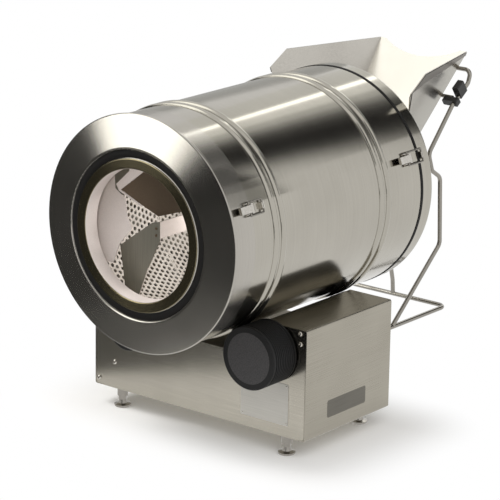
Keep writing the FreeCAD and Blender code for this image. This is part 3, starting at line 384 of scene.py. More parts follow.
def direction(azimuth: float, elevation: float) -> Vector:
    """Gives the unit vector at an azimuth, from the front toward the right, and a height, in degrees."""
    a, e = math.radians(azimuth), math.radians(elevation)
    return Vector((math.sin(a) * math.cos(e), -math.cos(a) * math.cos(e), math.sin(e)))


def linked(name: str, data: ID) -> Object:
    """Makes an object in the scene.

    Args:
        name: The object's name.
        data: Its mesh, lamp or camera.

    Returns:
        The object.
    """
    made = bpy.data.objects.new(name, data)
    bpy.context.scene.collection.objects.link(made)
    return made


def piece(name: str, mesh: Mesh, finish: Material, smooth_below: float = 40.0) -> Object:
    """Makes an object of a finished mesh.

    Args:
        name: The object's name.
        mesh: Its shape.
        finish: Its material.
        smooth_below: Angle in degrees up to which faces are shaded smooth.

    Returns:
        The object.
    """
    made = linked(name, mesh)
    mesh.materials.clear()
    mesh.materials.append(finish)
    mesh.shade_smooth()
    mesh.set_sharp_from_angle(angle=math.radians(smooth_below))
    return made


def settle(made: Object, body: str, *stands_for: str) -> None:
    """Lets a piece ride on its body.

    Args:
        made: The piece.
        body: The body.
        stands_for: The CAD nodes whose place it takes.
    """
    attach(made, body)
    if stands_for:
        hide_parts(*stands_for)
    LOG.info("%s rides on %s, %d faces", made.name, body, len(made.data.polygons))


def bridge(shape: Shape, rings: Sequence[Ring], capped: bool = False) -> None:
    """Joins each closed ring of points to the next one.

    Args:
        shape: The shape that holds the points.
        rings: The rings in turn, all with the same number of points.
        capped: Whether the first ring and the last are closed with a face.
    """
    for low, high in zip(rings, rings[1:]):
        for i in range(len(low)):
            j = (i + 1) % len(low)
            shape.faces.new((low[i], low[j], high[j], high[i]))
    if capped:
        shape.faces.new(list(reversed(rings[0])))
        shape.faces.new(rings[-1])


def finished(shape: Shape, name: str, outward: bool = True) -> Mesh:
    """Makes a mesh of a shape and frees the shape.

    Args:
        shape: The shape.
        name: The mesh's name.
        outward: Whether the faces are turned outward first.

    Returns:
        The mesh.
    """
    if outward:
        bmesh.ops.recalc_face_normals(shape, faces=shape.faces)
    mesh = bpy.data.meshes.new(name)
    shape.to_mesh(mesh)
    shape.free()
    return mesh


def one_face(corners: Sequence[Vector]) -> Shape:
    """Draws a single face.

    Args:
        corners: Its corners in turn.

    Returns:
        The shape.
    """
    shape = bmesh.new()
    shape.faces.new([shape.verts.new(corner) for corner in corners])
    return shape


def lathe(profile: Sequence[Span], centre: Vector, segments: int = 96) -> Mesh:
    """Turns a closed profile about a line along Y.

    Args:
        profile: Pairs of radius and place along Y.
        centre: Where the profile's middle is moved to.
        segments: Steps of the full turn.

    Returns:
        A closed mesh with its faces outward.
    """
    shape = bmesh.new()
    rings = []
    for step in range(segments):
        angle = 2 * math.pi * step / segments
        rings.append([shape.verts.new((r * math.sin(angle), y, r * math.cos(angle))) for r, y in profile])
    bridge(shape, rings + rings[:1])
    bmesh.ops.remove_doubles(shape, verts=shape.verts, dist=0.001 * MM)
    bmesh.ops.dissolve_degenerate(shape, edges=shape.edges, dist=0.001 * MM)
    mesh = finished(shape, "turned")
    mesh.transform(Matrix.Translation(centre))
    return mesh


def both_ends(profile: Sequence[Span]) -> list[Span]:
    """Adds to half a profile its mirror image, from the far end back."""
    return [*profile, *((radius, -along) for radius, along in reversed(profile))]


class RepeatRule:
    """A geometry tree with named inputs, run once and baked to a plain mesh."""

    def __init__(self, name: str) -> None:
        """Starts a tree that gives one geometry.

        Args:
            name: The tree's name.
        """
        self.tree = bpy.data.node_groups.new(name, "GeometryNodeTree")
        for way in ("INPUT", "OUTPUT"):
            self.tree.interface.new_socket("Geometry", in_out=way, socket_type="NodeSocketGeometry")
        self.source = self.tree.nodes.new("NodeGroupInput")
        self.result = self.tree.nodes.new("NodeGroupOutput")
        self.values: dict[str, Any] = {}
        self.part: Object | None = None

    def size(self, name: str, kind: str, value: Any) -> NodeSocket:
        """Adds a named input of the tree and keeps its value.

        Args:
            name: The input's name.
            kind: The end of Blender's socket type, such as Float.
            value: What the modifier sets it to.

        Returns:
            The socket to link from.
        """
        item = self.tree.interface.new_socket(name, in_out="INPUT", socket_type="NodeSocket" + kind)
        self.values[item.identifier] = value
        return self.source.outputs[name]

    def node(self, kind: str, inputs: dict[Any, Any] | None = None, **settings: Any) -> Node:
        """Adds a node to the tree."""
        return add_node(self.tree, kind, inputs, **settings)

    def math(self, operation: str, *values: Any) -> NodeSocket:
        """Adds one sum and gives its result."""
        return self.node("ShaderNodeMath", dict(enumerate(values)), operation=operation).outputs[0]

    def copies(self, mesh: Mesh, points: Node, **turned: NodeSocket) -> NodeSocket:
        """Sets a copy of one mesh at each point.

        Args:
            mesh: What is repeated.
            points: The node that gives the points.
            turned: Rotation or Scale of each copy.

        Returns:
            The copies' socket.
        """
        self.part = linked(self.tree.name + "_part", mesh)
        shape = self.node("GeometryNodeObjectInfo", {"Object": self.size("Part", "Object", self.part)})
        return self.node("GeometryNodeInstanceOnPoints", {
            "Points": points.outputs[0], "Instance": shape.outputs["Geometry"], **turned}).outputs[0]

    def end(self, geometry: NodeSocket, weld: float = 0.0) -> None:
        """Closes the tree with real geometry, welded where asked, and its material.

        Args:
            geometry: What the tree has made.
            weld: Distance within which points are joined, in metres.
        """
        finish = self.size("Finish", "Material", None)
        real = self.node("GeometryNodeRealizeInstances", {0: geometry}).outputs[0]
        if weld:
            real = self.node("GeometryNodeMergeByDistance", {"Geometry": real, "Distance": weld}).outputs[0]
        dressed = self.node("GeometryNodeSetMaterial", {"Geometry": real, "Material": finish})
        self.tree.links.new(dressed.outputs[0], self.result.inputs[0])

    def bake(self, name: str, start: Mesh, finish: Material, smooth_below: float = 40.0) -> Object:
        """Runs the tree, keeps the plain mesh and removes what was repeated.

        Args:
            name: The piece's name.
            start: The mesh that the tree starts from.
            finish: The material of the result.
            smooth_below: Angle in degrees up to which faces are shaded smooth.

        Returns:
            The piece, with no modifier left on it.
        """
        carrier = linked(name + "_carrier", start)
        modifier = carrier.modifiers.new("rule", "NODES")
        modifier.node_group = self.tree
        for identifier, value in self.values.items():
            modifier[identifier] = finish if value is None else value
        graph = bpy.context.evaluated_depsgraph_get()
        mesh = bpy.data.meshes.new_from_object(carrier.evaluated_get(graph), depsgraph=graph)
        carrier.modifiers.clear()
        bpy.data.objects.remove(carrier)
        bpy.data.objects.remove(self.part)
        return piece(name, mesh, finish, smooth_below)


class ScrewHead(Enum):
    """Shapes of fastener heads."""

    SOCKET = "hexagon socket button"
    RIVET = "domed rivet"
    HEXAGON = "hexagon bolt"


def head_mesh(head: ScrewHead) -> Mesh:
    """Makes a fastener head of one unit radius, standing on the XY plane and facing +Z.

    Args:
        head: The shape.

    Returns:
        A closed mesh.
    """
    sides, flat = 24, math.pi / 3
    outline = {
        ScrewHead.SOCKET: ((1.0, -0.3), (1.0, 0.25), (0.86, 0.45), (0.62, 0.56)),
        ScrewHead.RIVET: ((1.0, -0.3), (0.97, 0.16), (0.72, 0.4), (0.38, 0.53), (0.12, 0.57)),
        ScrewHead.HEXAGON: ((1.0, -0.3), (1.0, 0.52), (0.9, 0.62)),
    }[head]
    socket = ((0.5, 0.56), (0.5, 0.05))
    shape = bmesh.new()

    def ring(radius: float, height: float, hexagon: bool) -> Ring:
        """Adds one ring of points.

        Args:
            radius: Distance of its corners from the middle.
            height: Its height.
            hexagon: Whether it is six sided, and not round.

        Returns:
            The points.
        """
        found = []
        for step in range(sides):
            angle = 2 * math.pi * step / sides
            away = (angle + flat / 2) % flat - flat / 2
            reach = radius * (math.cos(flat / 2) / math.cos(away) if hexagon else 1.0)
            found.append(shape.verts.new((reach * math.cos(angle), reach * math.sin(angle), height)))
        return found

    rings = [ring(r, h, head is ScrewHead.HEXAGON) for r, h in outline]
    if head is ScrewHead.SOCKET:
        rings += [ring(r, h, True) for r, h in socket]
    bridge(shape, rings, capped=True)
    return finished(shape, head.name.lower())


def fasteners(name: str, head: ScrewHead, seats: Sequence[tuple[Vector, Vector, float]],
              finish: Material) -> Object:
    """Sets one head on each seat.

    Args:
        name: The piece's name.
        head: The shape of the heads.
        seats: Place, facing and head radius of each, in metres.
        finish: The material.

    Returns:
        One piece with all the heads.
    """
    points = bpy.data.meshes.new("points")
    points.from_pydata([tuple(place) for place, _, _ in seats], [], [])
    points.attributes.new("facing", "FLOAT_VECTOR", "POINT").data.foreach_set(
        "vector", [part for _, facing, _ in seats for part in facing])
    points.attributes.new("size", "FLOAT", "POINT").data.foreach_set("value", [size for _, _, size in seats])
    rule = RepeatRule(name + "_rule")
    facing = rule.node("GeometryNodeInputNamedAttribute", {"Name": "facing"}, data_type="FLOAT_VECTOR")
    radius = rule.node("GeometryNodeInputNamedAttribute", {"Name": "size"}, data_type="FLOAT")
    turn = rule.node("FunctionNodeAlignRotationToVector", {"Vector": facing.outputs[0]}, axis="Z")
    cloud = rule.node("GeometryNodeMeshToPoints", {0: rule.source.outputs["Geometry"]})
    rule.end(rule.copies(head_mesh(head), cloud, Rotation=turn.outputs[0], Scale=radius.outputs[0]))
    return rule.bake(name, points, finish)


def plate(name: str, corner: Vector, along: Vector, size: Span, thickness: float, radius: float,
          finish: Material) -> Object:
    """Makes an upright bare plate with rounded corners and a softened edge.

    Args:
        name: The piece's name.
        corner: The plate's low corner on the wall.
        along: Direction of its width.
        size: Its width and height in metres.
        thickness: How far it stands off the wall.
        radius: Radius of its corners.
        finish: The material.

    Returns:
        The plate.
    """
    up, steps = Vector((0, 0, 1)), 6
    outward, (width, height) = along.cross(up), size
    outline = []
    for x, y, start in ((width - radius, radius, -90), (width - radius, height - radius, 0),
                        (radius, height - radius, 90), (radius, radius, 180)):
        for step in range(steps + 1):
            angle = math.radians(start + 90 / steps * step)
            outline.append((x + radius * math.cos(angle), y + radius * math.sin(angle)))
    shape = bmesh.new()
    rings = []
    for inset, level in ((0.0, 0.0), (0.0, 0.7), (0.12, 1.0)):
        ring = []
        for x, y in outline:
            ax = x + (width / 2 - x) * inset * 2 * thickness / width
            ay = y + (height / 2 - y) * inset * 2 * thickness / height
            ring.append(shape.verts.new(corner + along * ax + up * ay + outward * thickness * level))
        rings.append(ring)
    bridge(shape, rings, capped=True)
    return piece(name, finished(shape, name), finish, 30.0)


def thin_sheet(name: str, outline: Sequence[Vector], lift: Vector, finish: Material) -> Object:
    """Makes a flat strip of sheet.

    Args:
        name: The piece's name.
        outline: The corners of its one side.
        lift: Way from there to its other side.
        finish: The material.

    Returns:
        The strip.
    """
    shape = bmesh.new()
    rings = [[shape.verts.new(corner + way) for corner in outline] for way in (Vector(), lift)]
    bridge(shape, rings, capped=True)
    return piece(name, finished(shape, name), finish, 20.0)


@dataclass
class Assembly:
    """CAD nodes that are dressed together, and the pieces that are added to them."""

    nodes: ClassVar[NodeTable] = {}

    def build(self) -> None:
        """Dresses the CAD nodes."""
        for finish, nodes in self.nodes.items():
            for node in nodes:
                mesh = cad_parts[node].data
                mesh.materials.clear()
                mesh.materials.append(material(finish))
                LOG.info("%s: %s", node, finish)


@dataclass
class Drum(Assembly):
    """The turning drum with its covers, its perforated screen and its vanes."""

    shell_radius: float = 200 * MM
    screen_radius: float = 176 * MM
    screen_sheet: float = 1.5 * MM
    pitch: float = 10.8 * MM
    hole: float = 3.55 * MM
    hole_points: int = 12
    edge_band: float = 7 * MM
    band_lap: float = 0.3 * MM
    rear_rows: int = 17
    weld: float = 0.25 * MM
    rivet: float = 2.2 * MM
    rivet_reach: float = 5 * MM
    flange_sheet: float = 1.2 * MM
    bolt: float = 2.6 * MM
    bolt_depth: float = 48.2
    bolt_lean: float = 0.12
    bolt_places: tuple[Span, ...] = ((4, 4), (4, -8))
    tab_facing: float = 0.9
    body: str = "drum"
    nodes: ClassVar[NodeTable] = {
        "stainless_round_brushed": ("drum_shell", "rear_cap"),
        "stainless_turned": ("front_cover",),
        "stainless_tumbled": ("front_diaphragm", "inner_drum", "return_spiral", "lifting_flights"),
        "stainless_blasted": ("vane_left",),
        # vane_top and vane_lower take darker copies of vane_left's pale sheet: painted shade.
        "stainless_burnished": ("vane_top",),
        "stainless_bloomed": ("vane_lower",),
        "seal_rubber": ("front_seal", "rear_seal"),
        "stainless_polished": ("latch_bases", "latch_keepers"),
    }
    rivet_seats: ClassVar[dict[str, float]] = {"latch_bases": 1.9 * MM, "latch_keepers": 1.4 * MM}
    # Finish, depth behind the drum's front, lean of that depth along X and Z, and outline about the axis.
    strips: ClassVar[dict[str, tuple[str, float, float, float, tuple[Span, ...]]]] = {
        "vane_top_flange": ("stainless_blasted", 69.0, 0.0, -0.20, (
            (-84, 53), (-40, 33), (-42, 30), (-88, 51), (-92, 62), (-20, 124), (70, 174), (72, 170),
            (-14, 105))),
        # The strip beside vane_left is painted shade in the olive copy of the vane sheet.
        "vane_left_flange": ("stainless_bloomed", 75.5, 0.15, 0.25, (
            (-130, 140), (-107, 49), (-92, 40), (-84, 66), (-96, 150))),
    }
    # Finish and profile, in pairs of radius and depth behind the drum's front.
    rings: ClassVar[dict[str, tuple[str, tuple[Span, ...]]]] = {
        # The lip's dark, warm finish is painted reflection.
        "throat_lip": ("stainless_lip", (
            (130.6, 3.4), (130.6, 1.1), (130.1, 0.4), (129.3, 0.2), (128.6, 0.2), (115.2, 0.2), (114.5, 0.2),
            (113.6, 0.6), (113.2, 1.4), (113.6, 3.4))),
        "throat_liner": ("stainless_blasted", ((113.1, 1.6), (112.7, 2.2), (112.7, 30.0), (113.0, 30.0))),
        # A black ring in the cover's groove: a dark piece that paints the groove's shade and dark
        # reflection.
        "groove_seal": ("seal_rubber", (
            (144.2, 3.4), (141.5, 2.7), (138.0, 2.4), (134.5, 2.7), (132.0, 3.4), (134.2, 8.8),
            (140.8, 8.8))),
    }

    def __post_init__(self) -> None:
        """Works out the places that the pieces share."""
        self.rim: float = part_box("front_cover")[0].y
        self.around: int = round(2 * math.pi * self.screen_radius / self.pitch)
        self.step: float = 2 * math.pi * self.screen_radius / self.around
        self.gap: float = self.step * math.sqrt(3) / 2
        self.first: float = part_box("screen_drum")[0].y + self.edge_band + self.step / 2

    def behind_rim(self, x: float, z: float, depth: float) -> Vector:
        """Gives the place of a point about the axis, at a depth behind the rim, all in millimetres."""
        return DRUM_AXIS + Vector((x * MM, self.rim + depth * MM, z * MM))

    def tile(self) -> Mesh:
        """Makes one cell of the screen: a six-sided piece of sheet with a round hole.

        Returns:
            The cell, lying in the XY plane, its outer side toward +Z.
        """
        shape, holes = bmesh.new(), []
        flats = [(math.radians(60 * i + 30), self.step / math.sqrt(3)) for i in range(6)]
        rounds = [(2 * math.pi * i / self.hole_points, self.hole) for i in range(self.hole_points)]
        for level, way in ((0.0, 1), (self.screen_sheet, -1)):
            outer, inner = ([shape.verts.new((r * math.cos(a), r * math.sin(a), level)) for a, r in spots]
                            for spots in (flats, rounds))
            for i in range(6):
                near, mid, far = (inner[(2 * i + k) % self.hole_points] for k in (1, 2, 3))
                here, there = outer[i], outer[(i + 1) % 6]
                for corners in ((here, mid, near), (here, there, mid), (there, far, mid)):
                    shape.faces.new(corners[::way])
            holes.append(inner)
        bridge(shape, holes)
        return finished(shape, "screen_cell", outward=False)

    def perforated(self, name: str, first_row: int, rows: int) -> Object:
        """Wraps one length of perforated sheet round the drum.

        Args:
            name: The piece's name.
            first_row: Number of its first row of holes, counted from the drum's front.
            rows: How many rows it has.

        Returns:
            The sheet.
        """
        rule = RepeatRule(name + "_rule")
        radius = rule.size("Radius", "Float", self.screen_radius)
        columns = rule.size("Holes round the drum", "Int", self.around)
        before = rule.size("Rows before", "Int", first_row)
        lines = rule.size("Rows of holes", "Int", rows)
        gap = rule.size("Row spacing", "Float", self.gap)
        first = rule.size("First row", "Float", self.first)
        height = rule.size("Axis height", "Float", DRUM_AXIS.z)
        total = rule.math("MULTIPLY", columns, lines)
        cloud = rule.node("GeometryNodePoints", {"Count": total})
        index = rule.node("GeometryNodeInputIndex").outputs[0]
        row = rule.math("ADD", rule.math("FLOOR", rule.math("DIVIDE", index, columns)), before)
        shift = rule.math("MULTIPLY", rule.math("MODULO", row, 2.0), 0.5)
        share = rule.math("DIVIDE", rule.math("ADD", index, shift), columns)
        angle = rule.math("MULTIPLY", share, 2 * math.pi)
        across = rule.math("MULTIPLY", rule.math("SINE", angle), radius)
        above = rule.math("ADD", rule.math("MULTIPLY", rule.math("COSINE", angle), radius), height)
        along = rule.math("ADD", rule.math("MULTIPLY", row, gap), first)
        spot = rule.node("ShaderNodeCombineXYZ", {0: across, 1: along, 2: above}).outputs[0]
        moved = rule.node("GeometryNodeSetPosition", {"Geometry": cloud.outputs[0], "Position": spot})
        turn = rule.node("ShaderNodeCombineXYZ", {1: angle}).outputs[0]
        rule.end(rule.copies(self.tile(), moved, Rotation=turn), weld=self.weld)
        return rule.bake(name, bpy.data.meshes.new("start"), material("stainless_tumbled"))

    def screen(self) -> None:
        """Makes the perforated wall, from the diaphragm into the inner drum, and its plain ends."""
        low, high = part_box("screen_drum")
        rows = int((high.y - self.first) / self.gap) + 1
        for name, node, before, count in (("screen_sheet", "screen_drum", 0, rows),
                                          ("inner_sheet", "inner_drum", rows, self.rear_rows)):
            made = self.perforated(name, before, count)
            settle(made, self.body, node)
        last = self.first + (rows + self.rear_rows - 1) * self.gap
        inner, outer = self.screen_radius - self.band_lap, self.screen_radius + self.screen_sheet
        for name, near, far in (("front", low.y, self.first - self.step / 4),
                                ("rear", last + self.step / 4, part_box("inner_drum")[1].y)):
            mesh = lathe(((inner, near), (outer, near), (outer, far), (inner, far)), DRUM_AXIS, 128)
            made = piece(f"screen_band_{name}", mesh, material("stainless_tumbled"), 30.0)
            settle(made, self.body)

    def flanges(self) -> None:
        """Adds the bent edges of two vanes, as thin strips beside their sheets, and the hub's bolts."""
        for name, (finish, depth, lean_x, lean_z, outline) in self.strips.items():
            spots = [self.behind_rim(x, z, depth + lean_x * x + lean_z * z) for x, z in outline]
            settle(thin_sheet(name, spots, -ALONG_DRUM * self.flange_sheet, material(finish)),
                   self.body)
        facing = Vector((self.bolt_lean, -1.0, 0.0)).normalized()
        seats = [(self.behind_rim(x, z, self.bolt_depth - self.bolt_lean * x), facing, self.bolt)
                 for x, z in self.bolt_places]
        # The hub's bolts take vane_top's dark brown painted shade.
        settle(fasteners("vane_bolts", ScrewHead.HEXAGON, seats, material("stainless_burnished")), self.body)

    def throat(self) -> None:
        """Lays the turned lip and the bright liner in the throat, and a black ring about it that paints the
        groove's shade.
        """
        for name, (finish, profile) in self.rings.items():
            mesh = lathe([(r * MM, y * MM) for r, y in profile], self.behind_rim(0, 0, 0), 160)
            settle(piece(name, mesh, material(finish), 50.0), self.body)

    def latch_rivets(self) -> None:
        """Sets two rivets on every latch base and keeper."""
        seats = []
        for node, height in self.rivet_seats.items():
            for low, high in islands(node):
                middle = (low + high) / 2
                out = Vector((middle.x, 0, middle.z - DRUM_AXIS.z)).normalized()
                side = out.cross(ALONG_DRUM)
                for sign in (-1, 1):
                    spot = (DRUM_AXIS + out * (self.shell_radius + height) + ALONG_DRUM * middle.y
                            + side * sign * self.rivet_reach)
                    seats.append((spot, out, self.rivet))
        settle(fasteners("latch_rivets", ScrewHead.RIVET, seats, material("stainless_polished")), self.body)

    def build(self) -> None:
        """Dresses the CAD nodes and adds the pieces that stand for detail."""
        super().build()
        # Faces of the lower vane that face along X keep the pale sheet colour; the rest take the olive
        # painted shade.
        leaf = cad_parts["vane_lower"].data
        leaf.materials.append(material("stainless_blasted"))
        for face in leaf.polygons:
            face.material_index = int(abs(face.normal.x) > self.tab_facing)
        self.screen()
        self.flanges()
        self.throat()
        self.latch_rivets()


@dataclass
class Wheels(Assembly):
    """The driven wheel and the three smaller rollers, with their rubber tyres."""

    thickness: float = 10.5 * MM
    groove: float = 1.3 * MM
    soft_edge: float = 1.2 * MM
    shoulder: float = 5 * MM
    rib: float = 2.6 * MM
    rib_spacing: float = 4.6 * MM
    rib_bevel: float = 0.5 * MM
    rib_root: float = 0.6 * MM
    nodes: ClassVar[NodeTable] = {
        "grey_polyamide": tuple(f"hub_{corner}" for corner in CORNERS),
        "stainless_polished": ("drive_shaft", "idler_shaft"),
    }
    bodies: ClassVar[dict[str, str]] = {
        "front_right": "drive_shaft_set", "front_left": "roller_front_left",
        "rear_left": "roller_rear_left", "rear_right": "roller_rear_right",
    }

    def tyre(self, place: str, body: str) -> None:
        """Makes one tyre with ribs round its tread, in place of the plain one.

        Args:
            place: The wheel's corner of the machine.
            body: The body that the tyre rides on.
        """
        low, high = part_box("tyre_" + place)
        middle, half = (low + high) / 2, (high.y - low.y) / 2
        radius = (high.z - low.z) / 2
        floor, inner, soft = radius - self.groove, radius - self.thickness, self.soft_edge
        core = lathe(both_ends((
            (inner, -half), (radius - soft, -half), (radius, -half + soft),
            (radius, -half + self.shoulder), (floor, -half + self.shoulder))), middle)
        bevel, edge = self.rib_bevel, -self.rib / 2
        rib_mesh = lathe(both_ends((
            (floor - self.rib_root, edge), (radius - bevel, edge), (radius, edge + bevel))), Vector())
        tread = 2 * (half - self.shoulder)
        count = int((tread - self.rib) / self.rib_spacing)
        rule = RepeatRule("tyre_ribs_" + place)
        number = rule.size("Ribs", "Int", count)
        gap = rule.size("Rib spacing", "Float", tread / (count + 1))
        start = rule.size("First rib", "Vector", middle - ALONG_DRUM * (tread / 2 - tread / (count + 1)))
        step = rule.node("ShaderNodeCombineXYZ", {1: gap}).outputs[0]
        line = rule.node("GeometryNodeMeshLine", {"Count": number, "Start Location": start, "Offset": step})
        both = rule.node("GeometryNodeJoinGeometry", {0: rule.copies(rib_mesh, line)})
        rule.tree.links.new(rule.source.outputs["Geometry"], both.inputs[0])
        rule.end(both.outputs[0])
        made = rule.bake("ribbed_tyre_" + place, core, material("nitrile_rubber"), 30.0)
        settle(made, body, "tyre_" + place)

    def build(self) -> None:
        """Makes the tyres and dresses the wheel centres and shafts."""
        for place, body in self.bodies.items():
            self.tyre(place, body)
        super().build()


@dataclass
class Housing(Assembly):
    """The folded sheet housing with its feet, plates, screws, drive and rear fittings."""

    face: float = -242 * MM
    side: float = 235 * MM
    rating_corner: Span = (97 * MM, 56 * MM)
    rating_size: Span = (102 * MM, 74 * MM)
    rating_sheet: float = 0.6 * MM
    rating_radius: float = 2 * MM
    rivet: float = 1.6 * MM
    rivet_inset: float = 4 * MM
    badge_corner: Span = (-180.5 * MM, 63 * MM)
    badge_size: Span = (109 * MM, 31 * MM)
    badge_sheet: float = 0.12 * MM
    badge_sunk: float = 0.1 * MM
    badge_radius: float = 4 * MM
    screw_height: float = 2.6 * MM
    body: str = "base"
    nodes: ClassVar[NodeTable] = {
        "stainless_side_grain": ("base_wrap",),
        "stainless_long_grain": ("front_panel", "rear_panel", "floor_plate"),
        "stainless_turned_rod": ("foot_sleeves", "rod_sockets", *(f"foot_{corner}" for corner in CORNERS)),
        "zinc_plated_steel": ("motor_bracket", "shaft_bearings", "motor_pulley", "shaft_pulley"),
        "cast_aluminium": ("gear_motor",),
        "black_polyamide": ("cable_gland", "switch_housing", "switch_rocker"),
        "nitrile_rubber": ("drive_belt",),
    }

    def plates(self) -> None:
        """Adds the bare rating plate in front and the bare badge on the right side."""
        (x, z), (width, height), inset = self.rating_corner, self.rating_size, self.rivet_inset
        settle(plate("rating_plate", Vector((x, self.face, z)), Vector((1, 0, 0)), self.rating_size,
                     self.rating_sheet, self.rating_radius, material("anodised_plate")), self.body)
        seats = [(Vector((x + a * width + (1 - 2 * a) * inset, self.face - self.rating_sheet,
                          z + b * height + (1 - 2 * b) * inset)), -ALONG_DRUM, self.rivet)
                 for a in (0, 1) for b in (0, 1)]
        settle(fasteners("plate_rivets", ScrewHead.RIVET, seats, material("stainless_polished")), self.body)
        y, z = self.badge_corner
        settle(plate("side_badge", Vector((self.side - self.badge_sunk, y, z)), ALONG_DRUM, self.badge_size,
                     self.badge_sheet, self.badge_radius, material("anodised_dark_plate")), self.body)

    def panel_screws(self) -> None:
        """Sets a socket screw in place of each plain panel screw."""
        seats = []
        halfway = sum(corner.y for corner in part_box("base_wrap")) / 2
        for low, high in islands("panel_screws"):
            out = -1 if low.y < halfway else 1
            head = (low.y if out < 0 else high.y) - out * self.screw_height
            spot = Vector(((low.x + high.x) / 2, head, (low.z + high.z) / 2))
            seats.append((spot, ALONG_DRUM * out, (high.x - low.x) / 2))
        made = fasteners("panel_screw_heads", ScrewHead.SOCKET, seats, material("stainless_polished"))
        settle(made, self.body, "panel_screws")

    def build(self) -> None:
        """Dresses the CAD nodes and adds plates and screws."""
        super().build()
        self.plates()
        self.panel_screws()


@dataclass
class Hopper(Assembly):
    """The lift-off feed hopper on its wire frame."""

    hem_sheet: float = 0.5 * MM
    wing_normal: Triple = (0.91, 0.25, -0.33)
    body: str = "hopper_body"
    nodes: ClassVar[NodeTable] = {
        "stainless_hopper": ("hopper",),
        "stainless_drawn_wire": ("lower_rod", "cradle_rod", "hopper_prop", "hopper_pegs"),
        "black_polyamide": ("clamp_blocks",),
    }
    hem_outline: ClassVar[tuple[Triple, ...]] = (
        (137.0, 171.5, 515.5), (158.0, 149.5, 558.5), (155.6, 194.0, 584.5), (99.0, 404.0, 583.5),
        (97.0, 402.5, 577.0), (149.6, 196.0, 566.5), (152.8, 160.0, 559.5))

    def build(self) -> None:
        """Dresses the hopper and its frame, and lays a dark hem along the right wing's upper edge, painted
        shade along its fold.
        """
        super().build()
        settle(thin_sheet("hopper_hem", [Vector(spot) * MM for spot in self.hem_outline],
                          Vector(self.wing_normal) * self.hem_sheet, material("stainless_hem")),
               self.body)


@dataclass
class Latches(Assembly):
    """The four toggle latches that hold the drum's covers."""

    nodes: ClassVar[NodeTable] = {
        "stainless_polished": tuple(f"latch_lever_{corner}" for corner in CORNERS),
        "stainless_drawn_wire": tuple(f"latch_bail_{corner}" for corner in CORNERS),
    }


def even_light(name: str, level: float) -> Material:
    """Makes a card's paper, which looks the same level from everywhere and lights nothing else.

    Args:
        name: The card's name.
        level: How light it looks.

    Returns:
        The paper.
    """
    made = empty_material(name + "_card")
    glow = add_node(made.node_tree, "ShaderNodeEmission", {"Color": (level, level, level * CARD_WARMTH, 1)})
    add_node(made.node_tree, "ShaderNodeOutputMaterial", {"Surface": glow.outputs[0]})
    return made


def mirror_only(name: str, shape: Shape, level: float) -> None:
    """Makes a card that only reflections see.

    Args:
        name: The card's name.
        shape: Its shape.
        level: How light it looks.
    """
    card = piece(name, finished(shape, name, outward=False), even_light(name, level))
    for ray in ("camera", "diffuse", "shadow", "transmission", "volume_scatter"):
        setattr(card, "visible_" + ray, False)


@dataclass(frozen=True)
class Card:
    """A studio card that only mirrors see, as a patch of a sphere round the machine."""

    name: str
    azimuth: Span
    elevation: Span
    level: float
    columns: ClassVar[int] = 13
    rows: ClassVar[int] = 9

    def build(self, centre: Vector, reach: float) -> None:
        """Makes the card.

        Args:
            centre: Middle of the sphere.
            reach: Radius of the sphere.
        """
        shape = bmesh.new()
        (west, east), (low, high) = self.azimuth, self.elevation
        grid = [[shape.verts.new(centre + direction(west + (east - west) * i / (self.columns - 1),
                                                    low + (high - low) * j / (self.rows - 1)) * reach)
                 for j in range(self.rows)] for i in range(self.columns)]
        for here, there in zip(grid, grid[1:]):
            for j in range(self.rows - 1):
                shape.faces.new((here[j], here[j + 1], there[j + 1], there[j]))
        mirror_only(self.name, shape, self.level)


@dataclass(frozen=True)
class Paper(Finish):
    """Floor paper that takes the machine's shadow and turns to plain white away from it."""

    to_footprint: Triple = (0.0, 0.122, 0.0)
    footprint: Triple = (0.235, 0.12, 0.0)
    shadow_reach: float = 0.17
    mirrored_white: float = 0.72
    specks_per_metre: float = 600.0

    def material(self) -> Material:
        """Builds the paper, whiter with distance from the housing's footprint.

        Returns:
            The material.
        """
        made = empty_material(self.name)
        tree = made.node_tree
        place = add_node(tree, "ShaderNodeTexCoord").outputs["Object"]
        away = add_node(tree, "ShaderNodeVectorMath", {0: place, 1: self.to_footprint})
        for operation, operand in (("ABSOLUTE", None), ("SUBTRACT", self.footprint),
                                   ("MAXIMUM", (0.0, 0.0, 0.0)), ("LENGTH", None)):
            inputs = {0: away.outputs[0]} if operand is None else {0: away.outputs[0], 1: operand}
            away = add_node(tree, "ShaderNodeVectorMath", inputs, operation=operation)
        share = add_node(tree, "ShaderNodeMapRange", {
            "Value": away.outputs["Value"], "From Min": 0.0, "From Max": self.shadow_reach},
            interpolation_type="SMOOTHSTEP").outputs["Result"]
        mirrored = add_node(tree, "ShaderNodeLightPath").outputs["Is Glossy Ray"]
        lift = add_node(tree, "ShaderNodeMath", {0: mirrored, 1: self.mirrored_white}, operation="MULTIPLY")
        share = add_node(tree, "ShaderNodeMath", {0: share, 1: lift.outputs[0]}, operation="MAXIMUM")
        speck = add_node(tree, "ShaderNodeTexNoise", {"Vector": place, "Scale": self.specks_per_metre})
        paper = add_node(tree, "ShaderNodeBsdfDiffuse", {
            "Color": self.tones(tree, speck.outputs["Fac"]), "Roughness": self.roughness})
        white = add_node(tree, "ShaderNodeEmission", {"Color": (1, 1, 1, 1)})
        both = add_node(tree, "ShaderNodeMixShader", {
            0: share.outputs[0], 1: paper.outputs[0], 2: white.outputs[0]})
        add_node(tree, "ShaderNodeOutputMaterial", {"Surface": both.outputs[0]})
        return made


